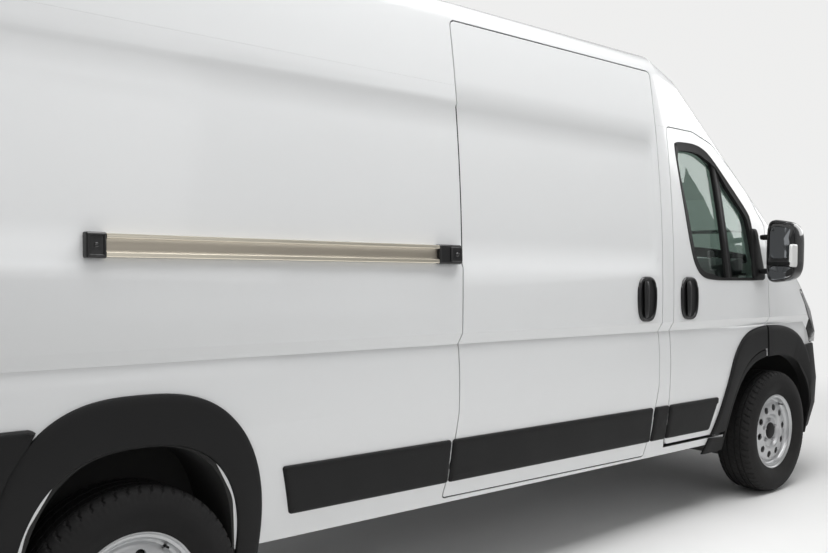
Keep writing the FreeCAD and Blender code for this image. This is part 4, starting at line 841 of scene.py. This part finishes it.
# Seals and rail
SLIDING_DOOR_GAPS = (
    ((-2.665, 2.300), (-2.665, 0.760), (-2.6680, 0.690), (-2.7095, 0.385)),
    ((-1.2400, 2.300), (-1.2400, 0.760), (-1.2425, 0.690), (-1.3005, 0.380)),
    ((-2.640, 2.3285), (-1.265, 2.3285)),
    ((-2.690, 0.3720), (-1.320, 0.3650)),
)
CAB_DOOR_GAP = ((-1.138, 0.440), (-1.138, 2.020))
RAIL_SECTION = (
    # height, distance out from the skin
    (1.3265, -0.0050), (1.3265, 0.0120), (1.3275, 0.0165), (1.3300, 0.0180), (1.3400, 0.0180),
    (1.3425, 0.0168), (1.3435, 0.0140), (1.3435, 0.0015), (1.3830, 0.0015), (1.3830, 0.0160),
    (1.3840, 0.0185), (1.3870, 0.0198), (1.3925, 0.0198), (1.3965, 0.0185), (1.3980, 0.0140),
    (1.3980, -0.0050),
)
CHANNEL_SECTION = ((1.3437, 0.0016), (1.3437, 0.0070), (1.3520, 0.0030), (1.3640, 0.0040),
                   (1.3740, 0.0030), (1.3828, 0.0075), (1.3828, 0.0016))
RAIL_X = np.array([-4.1600, -4.1597, -3.9, -3.5, -3.1, -2.8123, -2.8120])


def seal_grid(line, side):
    """A rubber bead 5 mm wide along a side-view line, 6 to 12 mm below the skin."""
    even = evenly(np.array(line), 60)
    flat = np.stack([widened(even, width) for width in (-0.0024, -0.0024, 0.0024, 0.0024)], axis=1)
    return on_skin(flat, (-0.012, -0.0065, -0.0065, -0.012), side, body_half), False, True


def make_seals():
    """Dark beads in the gaps round the sliding door and behind the cab doors, and rubber
    strips on the ledges under the cab doors."""
    new_piece("sliding_door_seal", [seal_grid(line, -1) for line in SLIDING_DOOR_GAPS], "body",
              BLACK)
    ledge = joined(np.linspace(-1.128, -0.610, 14)[:, None], (0.3893, 0.3893, 0.3925, 0.3925))
    for side, name in SIDES:
        new_piece("cab_door_seal_" + name, [seal_grid(CAB_DOOR_GAP, side)],
                  "front_%s_door" % name, BLACK)
        strip = on_skin(ledge, (-0.045, -0.0005, -0.0005, -0.045), side, side_half)
        new_piece("sill_seal_" + name, [(strip, False, True)], "body", BLACK)


def rail_grid(section):
    """A closed section of height and distance out, carried along the rail."""
    z, out = np.array(section).T
    return on_skin(joined(RAIL_X[:, None], z), out, -1, upper_half), False, True


def make_rail():
    """The sliding door's track, its painted-shade inside, an end cap, a bracket and their screws.
    """
    stands_for(new_piece("rail_track", [rail_grid(RAIL_SECTION)], "body", RAIL, 25),
                "slide_rail")
    # The rail's inside, in the darker finish that paints its shade.
    new_piece("rail_channel_painted_shade", [rail_grid(CHANNEL_SECTION)], "body", RAIL_PAINTED_SHADE, 40)
    section = ((0, -0.0060), (0, 0.0150), (0.002, 0.0195), (0.005, 0.0215), (0.009, 0.0220),
               (0.012, 0.0185), (0.020, 0.0180))
    raised = ((0, 0.0180), (0, 0.0250), (0.003, 0.0280), (0.008, 0.0290), (0.020, 0.0290))
    ends = [moulding(rounded_box(*box), line, -1, upper_half) for box, line in (
        ((-4.2225, -4.1595, 1.3235, 1.4010, 0.006), section),
        ((-2.8125, -2.6900, 1.3235, 1.4010, 0.010), section[:5]),
        ((-2.7560, -2.6930, 1.3320, 1.3930, 0.008), raised))]
    new_piece("rail_ends", ends, "body", HANDLE_BLACK, 35)
    head = ((0, 0.0030), (0.006, 0.0030), (0.0075, 0.002), (0.0085, 0))
    middle = 1.362
    screws = [turned(head, (x, -(float(upper_half(x, middle)) + out), middle), 20, side=-1)
              for x, out in ((-4.191, 0.0185), (-2.724, 0.0290))]
    new_piece("rail_screws", screws, "body", GLOSS_BLACK)


# Door windows and mirrors
WINDOW = ((-1.066, 1.955), (-1.050, 1.982), (-0.980, 1.991), (-0.860, 1.993), (-0.765, 1.976),
          (-0.670, 1.928), (-0.460, 1.770), (-0.320, 1.660), (-0.280, 1.600), (-0.245, 1.450),
          (-0.212, 1.300), (-0.215, 1.268), (-0.250, 1.261), (-0.500, 1.261), (-0.720, 1.263),
          (-0.850, 1.282), (-0.925, 1.345), (-0.968, 1.450), (-1.005, 1.600), (-1.045, 1.800))
BAR_TOP, BAR_FOOT = (-0.662, 1.915), (-0.572, 1.266)
PANE_DEPTH, PANE_DEPTH_BAR = -0.0215, -0.021


def make_windows():
    """The rubber and black border of each door window, and its two-part upright bar."""
    outline = loop(WINDOW, 220)
    x, z = outline.T
    wide = (0.014 + 0.032 * np.clip((z - 1.90) / 0.06, 0, 1)
            + 0.024 * np.clip((x + 0.70) / 0.2, 0, 1) * np.clip((z - 1.30) / 0.1, 0, 1)
            + 0.017 * np.clip((1.80 - z) / 0.2, 0, 1) * np.clip((-0.66 - x) / 0.1, 0, 1))
    outer = shrunk(outline, (-0.0005, -0.0005, 0.002, 0.006))
    inwards = shrunk(outline, [1.0])[:, 0] - outline
    inner = outline[:, None] + inwards[:, None] * (wide[:, None] + [0, 0.0012, 0.0012])[..., None]
    flat = np.concatenate([outer, inner], axis=1)
    out = (-0.003, 0.0022, 0.0040, 0.0034, 0.0022, -0.0010, PANE_DEPTH)
    across = np.array([-1, -1, -0.8, 0.8, 1, 1])
    for side, name in SIDES:
        grids = [(on_skin(flat, out, side, upper_half), True, True)]
        for shift, half, high in ((0.0, 0.021, -0.002), (0.040, 0.013, -0.008)):
            z = np.linspace(BAR_TOP[1] - shift * 0.8, BAR_FOOT[1], 12)
            mid = np.interp(z, (BAR_FOOT[1], BAR_TOP[1]), (BAR_FOOT[0], BAR_TOP[0])) + shift
            line = joined(mid[:, None] + across * half, z[:, None])
            heights = (PANE_DEPTH_BAR, high - 0.003, high, high, high - 0.003, PANE_DEPTH_BAR)
            grids.append((on_skin(line, heights, side, upper_half), False, True))
        new_piece("window_border_" + name, grids, "front_%s_door" % name, WINDOW_RUBBER, 40)


MIRROR_MIDDLE = np.array([1.1420, 1.4175])
MIRROR_SHELL = (
    # place along the van, scale of the outline, shift outwards
    (-0.284, 0.0, 0), (-0.284, 0.88, 0), (-0.287, 0.91, 0), (-0.3000, 0.93, 0),
    (-0.3015, 0.955, 0), (-0.3000, 0.985, 0), (-0.292, 1.0, 0), (-0.270, 1.02, 0),
    (-0.235, 1.02, 0), (-0.205, 0.985, 0), (-0.180, 0.90, 0), (-0.165, 0.78, -0.004),
    (-0.156, 0.60, -0.006), (-0.151, 0.35, -0.008), (-0.149, 0.0, -0.010),
)
MIRROR_PANE = ((-0.2900, 0.0, 0), (-0.2900, 0.985, 0), (-0.2885, 1.0, 0), (-0.2835, 1.0, 0),
               (-0.2835, 0, 0))


def mirror_grid(side, stations, size=(0.072, 0.184), middle_z=MIRROR_MIDDLE[1] + 0.012):
    """A mirror housing: a superellipse outline in the end view, lower towards its outer
    edge, carried along the van and scaled at each station to close at both ends."""
    turn = whole_turn(88)[:, None]
    x, scale, lean = np.array(stations).T
    y = soft(np.cos(turn), 2 / 4.2) * scale
    z = soft(np.sin(turn), 2 / 4.2) * scale * (1 - 0.075 * (y + 1))
    flat_y = MIRROR_MIDDLE[0] + size[0] * y + lean
    return (joined(x + 0.015 * (y + 1) ** 2, side * flat_y, middle_z + size[1] * z), True,
            False)


def make_mirrors():
    """Door mirrors: gloss housing, two glasses, side repeater, foot and two arms."""
    foot = rounded_box(-0.300, -0.180, 1.262, 1.560, 0.030, taper=(0.010, 0, -0.050, 0.020))
    section = ((0, -0.002), (0, 0.010), (0.004, 0.016), (0.012, 0.019), (0.028, 0.021))
    for side, name in SIDES:
        body = "front_%s_door" % name
        new_piece("mirror_housing_" + name, [mirror_grid(side, MIRROR_SHELL)], body,
                  GLOSS_BLACK, 50)
        glasses = [mirror_grid(side, MIRROR_PANE, (0.059, tall), z)
                   for z, tall in ((1.478, 0.096), (1.302, 0.044))]
        new_piece("mirror_glasses_" + name, glasses, body, MIRROR_GLASS)
        bar = block((-0.289, side * 1.141, 1.360), (0.008, 0.066, 0.011))
        new_piece("mirror_bar_" + name, [bar], body, BLACK)
        lens = block((-0.258, side * 1.2080, 1.405), (0.036, 0.0095, 0.064), 0.28)
        new_piece("mirror_repeater_" + name, [lens], body, LENS)
        arms = [block((-0.232, side * 1.045, z), (0.028, 0.045, 0.016), 0.5)
                for z in (1.315, 1.510)]
        feet = new_piece("mirror_foot_" + name, [moulding(foot, section, side, upper_half)] + arms,
                         body, BLACK, 45)
        stands_for(feet, "door_trim_" + name)


# Lamps and plates
HEADLAMPS = ((0.655, 0.832, 0.985, 1.0), (0.735, 0.755, 0.965, 1.0), (0.560, 0.862, 1.055, 0.72))


def is_lens(face):
    """Faces of the headlamp solid that lie on the nose's skin."""
    n, c = face.normal, face.calc_center_median()
    outward = n.x * 0.6 + n.y * (1 if c.y > 0 else -1) * 0.8
    return outward > 0.15 and abs(n.y) > 0.02


def make_headlamps():
    """Clear covers over dark bowls, each bowl with two reflectors and a lamp."""
    lens = node_copy("headlamp_lenses", "headlamps", CLEAR, 35, is_lens)
    stands_for(lens, "headlamps")
    bowls = node_copy("headlamp_bowls", "headlamps", LAMP_BOWL, 35, lambda face: not is_lens(face))
    for piece, thick in ((lens, 0.003), (bowls, 0.002)):
        wall = piece.modifiers.new("wall", "SOLIDIFY")
        wall.thickness = thick
        wall.offset = -1
    bowl = ((0.0, -0.034), (0.016, -0.033), (0.030, -0.026), (0.042, -0.012), (0.050, 0.004),
            (0.054, 0.006), (0.056, 0.002), (0.050, -0.014), (0.030, -0.036), (0.0, -0.044))
    bulb = ((0.0, 0.004), (0.010, 0.002), (0.016, -0.006), (0.018, -0.014), (0.016, -0.030),
            (0.0, -0.032))
    for side, name in SIDES:
        for label, profile, finish in (("reflectors", bowl, REFLECTOR), ("bulbs", bulb, LENS)):
            grids = []
            for x, y, z, size in HEADLAMPS:
                grid, wrap_rows, wrap_columns = turned(np.array(profile) * size, (0, 0, 0), 40,
                                                       "x")
                grid = swung(grid, side * math.radians(42), 0, 1) + (x, side * y, z)
                grids.append((grid, wrap_rows, wrap_columns))
            new_piece("headlamp_%s_%s" % (label, name), grids, "body", finish, 40)


def make_plates():
    """Blank number plates front and rear, the lamp over the rear one and the high stop lamp."""
    plate_half = (0.258, 0.054)
    new_piece("front_plate", [block((0.9412, 0, 0.730), (0.0020, *plate_half), 0.12, 12, 48)],
              "body", PLATE)
    new_piece("rear_plate", [block((-5.0145, 0.440, 0.770), (0.0030, *plate_half), 0.12, 12, 48)],
              "rear_left_door", PLATE)
    new_piece("plate_lamp", [block((-5.020, 0.440, 0.858), (0.012, 0.150, 0.016), 0.4)],
              "rear_left_door", BLACK)
    new_piece("high_stop_lamp", [block((-5.004, 0, 2.385), (0.013, 0.120, 0.015))], "body", RED)


# Cab
CUSHION_FACETS = 0.011
CUSHION_CAP = 0.012
CUSHION_FRAMES = 12
# How much smaller than its finished size a pad starts, along, across and up.
CUSHION_START = np.array((0.93, 0.95, 0.90))
# name of the place, its middle across the van, half its width
PLACES = (("driver", 0.490, 0.245), ("inner", -0.165, 0.205), ("outer", -0.595, 0.205))


def point_array(mesh):
    """A mesh's vertices as rows of coordinates."""
    points = np.empty(len(mesh.vertices) * 3)
    mesh.vertices.foreach_get("co", points)
    return points.reshape(-1, 3)


def cushion(name, centre, half, lean):
    """A stuffed cloth pad: a rounded block is remeshed, swollen with cloth pressure with its
    movement capped, and smoothed once. lean turns it about its own middle."""
    grid, _, _ = block((0, 0, 0), half * CUSHION_START, 0.42, 28, 56)
    grid = swung(grid, math.radians(lean), 2, 0) + np.array(centre)
    piece = new_piece(name, [(grid, False, True)], "body", CLOTH, 180)
    bpy.context.view_layer.objects.active = piece
    remesh = piece.modifiers.new("remesh", "REMESH")
    remesh.mode = "VOXEL"
    remesh.voxel_size = CUSHION_FACETS
    bpy.ops.object.modifier_apply(modifier="remesh")
    before = point_array(piece.data)
    cloth = piece.modifiers.new("cloth", "CLOTH")
    cloth.settings.use_pressure = True
    cloth.settings.uniform_pressure_force = 4.0
    cloth.settings.effector_weights.gravity = 0
    cloth.settings.quality = 4
    for step in range(1, CUSHION_FRAMES + 1):
        scene.frame_set(step)
    bpy.ops.object.modifier_apply(modifier="cloth")
    scene.frame_set(1)
    move = point_array(piece.data) - before
    length = np.linalg.norm(move, axis=1, keepdims=True)
    move *= np.minimum(1, CUSHION_CAP / np.maximum(length, 1e-9))
    piece.data.vertices.foreach_set("co", (before + move).ravel())
    piece.data.shade_smooth()
    crown = piece.modifiers.new("soft", "SUBSURF")
    crown.levels = crown.render_levels = 1
    return piece


def make_seats():
    """Driver's seat and double passenger seat: squab, back and head rest for each place."""
    post = ((0, -0.080), (0.006, -0.080), (0.006, 0.060), (0, 0.060))
    for name, y, half in PLACES:
        squab = cushion(name + "_squab", (-0.770, y, 0.855), (0.255, half, 0.078), 3)
        cushion(name + "_back", (-1.078, y, 1.200), (0.062, half * 0.95, 0.355), -8)
        cushion(name + "_head_rest", (-1.140, y, 1.690), (0.042, 0.132, 0.100), -6)
        if name == "driver":
            stands_for(squab, "driver_seat")
        if name == "inner":
            stands_for(squab, "passenger_seat")
        posts = [turned(post, (-1.128, y + off, 1.560), 14, "z") for off in (-0.055, 0.055)]
        new_piece(name + "_head_posts", posts, "body", BOLT)


# Underneath
TANK_AT, TANK_HALF = (-2.070, 0.690, 0.3148), (0.420, 0.160, 0.0848)
PIPE_Y = -0.250
SILENCER_END = ((0, 0.300), (0.030, 0.298), (0.034, 0.290), (0.078, 0.284), (0.088, 0.272),
                (0.088, 0.262), (0.0855, 0.255))


def make_running_gear():
    """Engine with its cover, tank with straps, silencer and pipe, in place of plain forms."""
    engine = [block((0.250, 0, 0.700), (0.190, 0.300, 0.255), 0.30),
              block((0.270, 0.040, 0.985), (0.165, 0.260, 0.075), 0.28),
              block((0.230, -0.335, 0.640), (0.150, 0.080, 0.180), 0.45),
              block((0.235, 0.345, 0.620), (0.150, 0.075, 0.170), 0.5)]
    stands_for(new_piece("engine_block", engine, "body", IRON, 45), "engine")
    cover = [block((0.270, 0.040 + 0.105 * i, 1.050), (0.150, 0.040, 0.024), 0.3)
             for i in range(-2, 3)]
    cover += [tube(((0.36, -0.30, 0.93), (0.43, -0.38, 0.90), (0.45, -0.40, 0.78),
                    (0.44, -0.36, 0.62)), 0.028),
              tube(((0.12, 0.20, 1.00), (0.10, 0.32, 0.98), (0.14, 0.40, 0.90),
                    (0.20, 0.41, 0.76)), 0.022)]
    new_piece("engine_cover", cover, "body", BLACK, 40)
    tank = new_piece("fuel_tank_shell", [block(TANK_AT, TANK_HALF, 0.22, 24, 48)], "body", BLACK,
                     40)
    stands_for(tank, "fuel_tank")
    turn = whole_turn(60)[None]
    y = TANK_AT[1] + (TANK_HALF[1] + 0.0015) * soft(np.cos(turn), 0.22)
    z = TANK_AT[2] + (TANK_HALF[2] + 0.0002) * soft(np.sin(turn), 0.22)
    straps = [(joined(x + np.array([-0.018, 0.018])[:, None], y, z), False, True)
              for x in (-2.290, -1.850)]
    new_piece("tank_straps", straps, "body", EXHAUST, 60)
    drum = [(radius, -along) for radius, along in SILENCER_END] + list(SILENCER_END[::-1])
    pipes = [turned(drum, (-1.800, PIPE_Y, 0.311), 48, "x")]
    for path in (((-3.395, 0.330), (-2.9, 0.330), (-2.4, 0.326), (-2.05, 0.311)),
                 ((-1.55, 0.311), (-1.3, 0.322), (-0.8, 0.330), (-0.305, 0.330))):
        pipes.append(tube([(x, PIPE_Y, z) for x, z in path], 0.0290, 20))
    stands_for(new_piece("exhaust_system", pipes, "body", EXHAUST, 40), "exhaust")


def make_wipers():
    """Two wipers on the screen, each an arm and a blade laid on points found on the glass."""
    mesh = frame["nodes"]["windscreen"].data
    screen = BVHTree.FromPolygons([v.co for v in mesh.vertices],
                                  [p.vertices for p in mesh.polygons])
    down = Vector((-math.sin(RAKE), 0, -math.cos(RAKE)))

    def on_glass(x, y, lift):
        """The point of the screen straight under a body-frame x and y, lifted off the glass."""
        start = placed(np.array([x, y, 3.0]))
        where, normal, _, _ = screen.ray_cast(Vector(start), down)
        return np.array(where + normal * lift)

    steps = np.linspace(0, 1, 9)
    for name, (x0, y0), (x1, y1) in (("left", (0.270, 0.600), (0.200, 0.120)),
                                     ("right", (0.270, -0.020), (0.200, -0.480))):
        arm = [on_glass(x0 + (x1 - x0) * t, y0 + (y1 - y0) * t, 0.022) for t in steps]
        blade = [on_glass(x1 - 0.02 + 0.10 * (t - 0.5), y1 + 0.56 * (t - 0.42), 0.009)
                 for t in steps]
        new_piece("wiper_" + name, [tube(arm, 0.008, 10), tube(blade, 0.007, 10)], "body", BLACK,
                  40, place=np.asarray)


make_wheels()
make_spare()
make_arches()
make_bands()
make_handles()
make_seals()
make_rail()
make_windows()
make_mirrors()
make_headlamps()
make_plates()
make_seats()
make_running_gear()
make_wipers()

for name, shown in frame["nodes"].items():
    for place in shown.material_slots:
        place.material = FINISHES[slot_of[name]]
for name in frame["nodes"]:
    if name not in stood_for:
        skin = node_copy(name + "_skin", name, FINISHES[slot_of[name]],
                         70 if name == "steering_wheel" else 30)
        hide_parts(name)


# Floor and light
BACKDROP = (0.86, 0.86, 0.855, 1)


def flat_floor():
    """A square of floor under the van, much larger than it. Far off it turns into the pale
    surroundings, so that no horizon shows."""
    far = 40.0
    mesh = bpy.data.meshes.new("floor")
    mesh.from_pydata([(-far, -far, 0), (far, -far, 0), (far, far, 0), (-far, far, 0)], [],
                     [(0, 1, 2, 3)])
    floor = bpy.data.objects.new("floor", mesh)
    bpy.context.collection.objects.link(floor)
    made = bpy.data.materials.new("floor_paint")
    made.use_nodes = True
    tree = made.node_tree
    shader = tree.nodes["Principled BSDF"]
    shader.inputs["Roughness"].default_value = 0.7
    place = node(tree, "ShaderNodeTexCoord").outputs["Object"]
    clouds = node(tree, "ShaderNodeTexNoise", in_Vector=place, in_Scale=1.5, in_Detail=6.0)
    tone = mixed(tree, clouds.outputs["Fac"], (0.72, 0.72, 0.715, 1), (0.76, 0.76, 0.755, 1))
    tree.links.new(tone, shader.inputs["Base Color"])
    length = node(tree, "ShaderNodeVectorMath", operation="LENGTH", in_0=place)
    fade = node(tree, "ShaderNodeMapRange", interpolation_type="SMOOTHSTEP",
                in_Value=length.outputs["Value"], in_From_Min=3.4, in_From_Max=7.5)
    seen = node(tree, "ShaderNodeLightPath").outputs["Is Camera Ray"]
    pale = node(tree, "ShaderNodeEmission", in_Color=BACKDROP)
    mix = node(tree, "ShaderNodeMixShader",
               in_Fac=maths(tree, "MULTIPLY", fade.outputs["Result"], seen),
               in_1=shader.outputs[0], in_2=pale.outputs[0])
    tree.links.new(mix.outputs[0], tree.nodes["Material Output"].inputs["Surface"])
    mesh.materials.append(made)


def area_light(name, place, aim, size, power):
    """A soft rectangular lamp at place, looking at aim."""
    data = bpy.data.lights.new(name, "AREA")
    data.shape = "RECTANGLE"
    data.size, data.size_y = size
    data.energy = power
    lamp = bpy.data.objects.new(name, data)
    bpy.context.collection.objects.link(lamp)
    lamp.location = place
    lamp.rotation_euler = (Vector(aim) - Vector(place)).to_track_quat("-Z", "Y").to_euler()


def studio_world():
    """A pale even world, brighter to the camera than what it sheds on the van."""
    world = bpy.data.worlds.new("studio")
    scene.world = world
    world.use_nodes = True
    tree = world.node_tree
    shed = tree.nodes["Background"]
    shed.inputs["Color"].default_value = (1, 1, 1, 1)
    shed.inputs["Strength"].default_value = 0.28
    seen = node(tree, "ShaderNodeBackground", in_Strength=1.0, in_Color=BACKDROP)
    path = node(tree, "ShaderNodeLightPath")
    mix = node(tree, "ShaderNodeMixShader", in_Fac=path.outputs["Is Camera Ray"],
               in_1=shed.outputs[0], in_2=seen.outputs[0])
    tree.links.new(mix.outputs[0], tree.nodes["World Output"].inputs["Surface"])


flat_floor()
studio_world()
area_light("overhead", (0, -1.5, 6.0), (0, 0, 1), (7.0, 3.2), 430)
area_light("side", (-1.5, -7.5, 3.2), (0, 0, 1.2), (8.0, 3.0), 55)
area_light("front", (8.0, -2.0, 3.5), (0, 0, 1.2), (4.0, 3.0), 90)
area_light("far", (0, 7.0, 4.0), (0, 0, 1.2), (8.0, 3.0), 110)
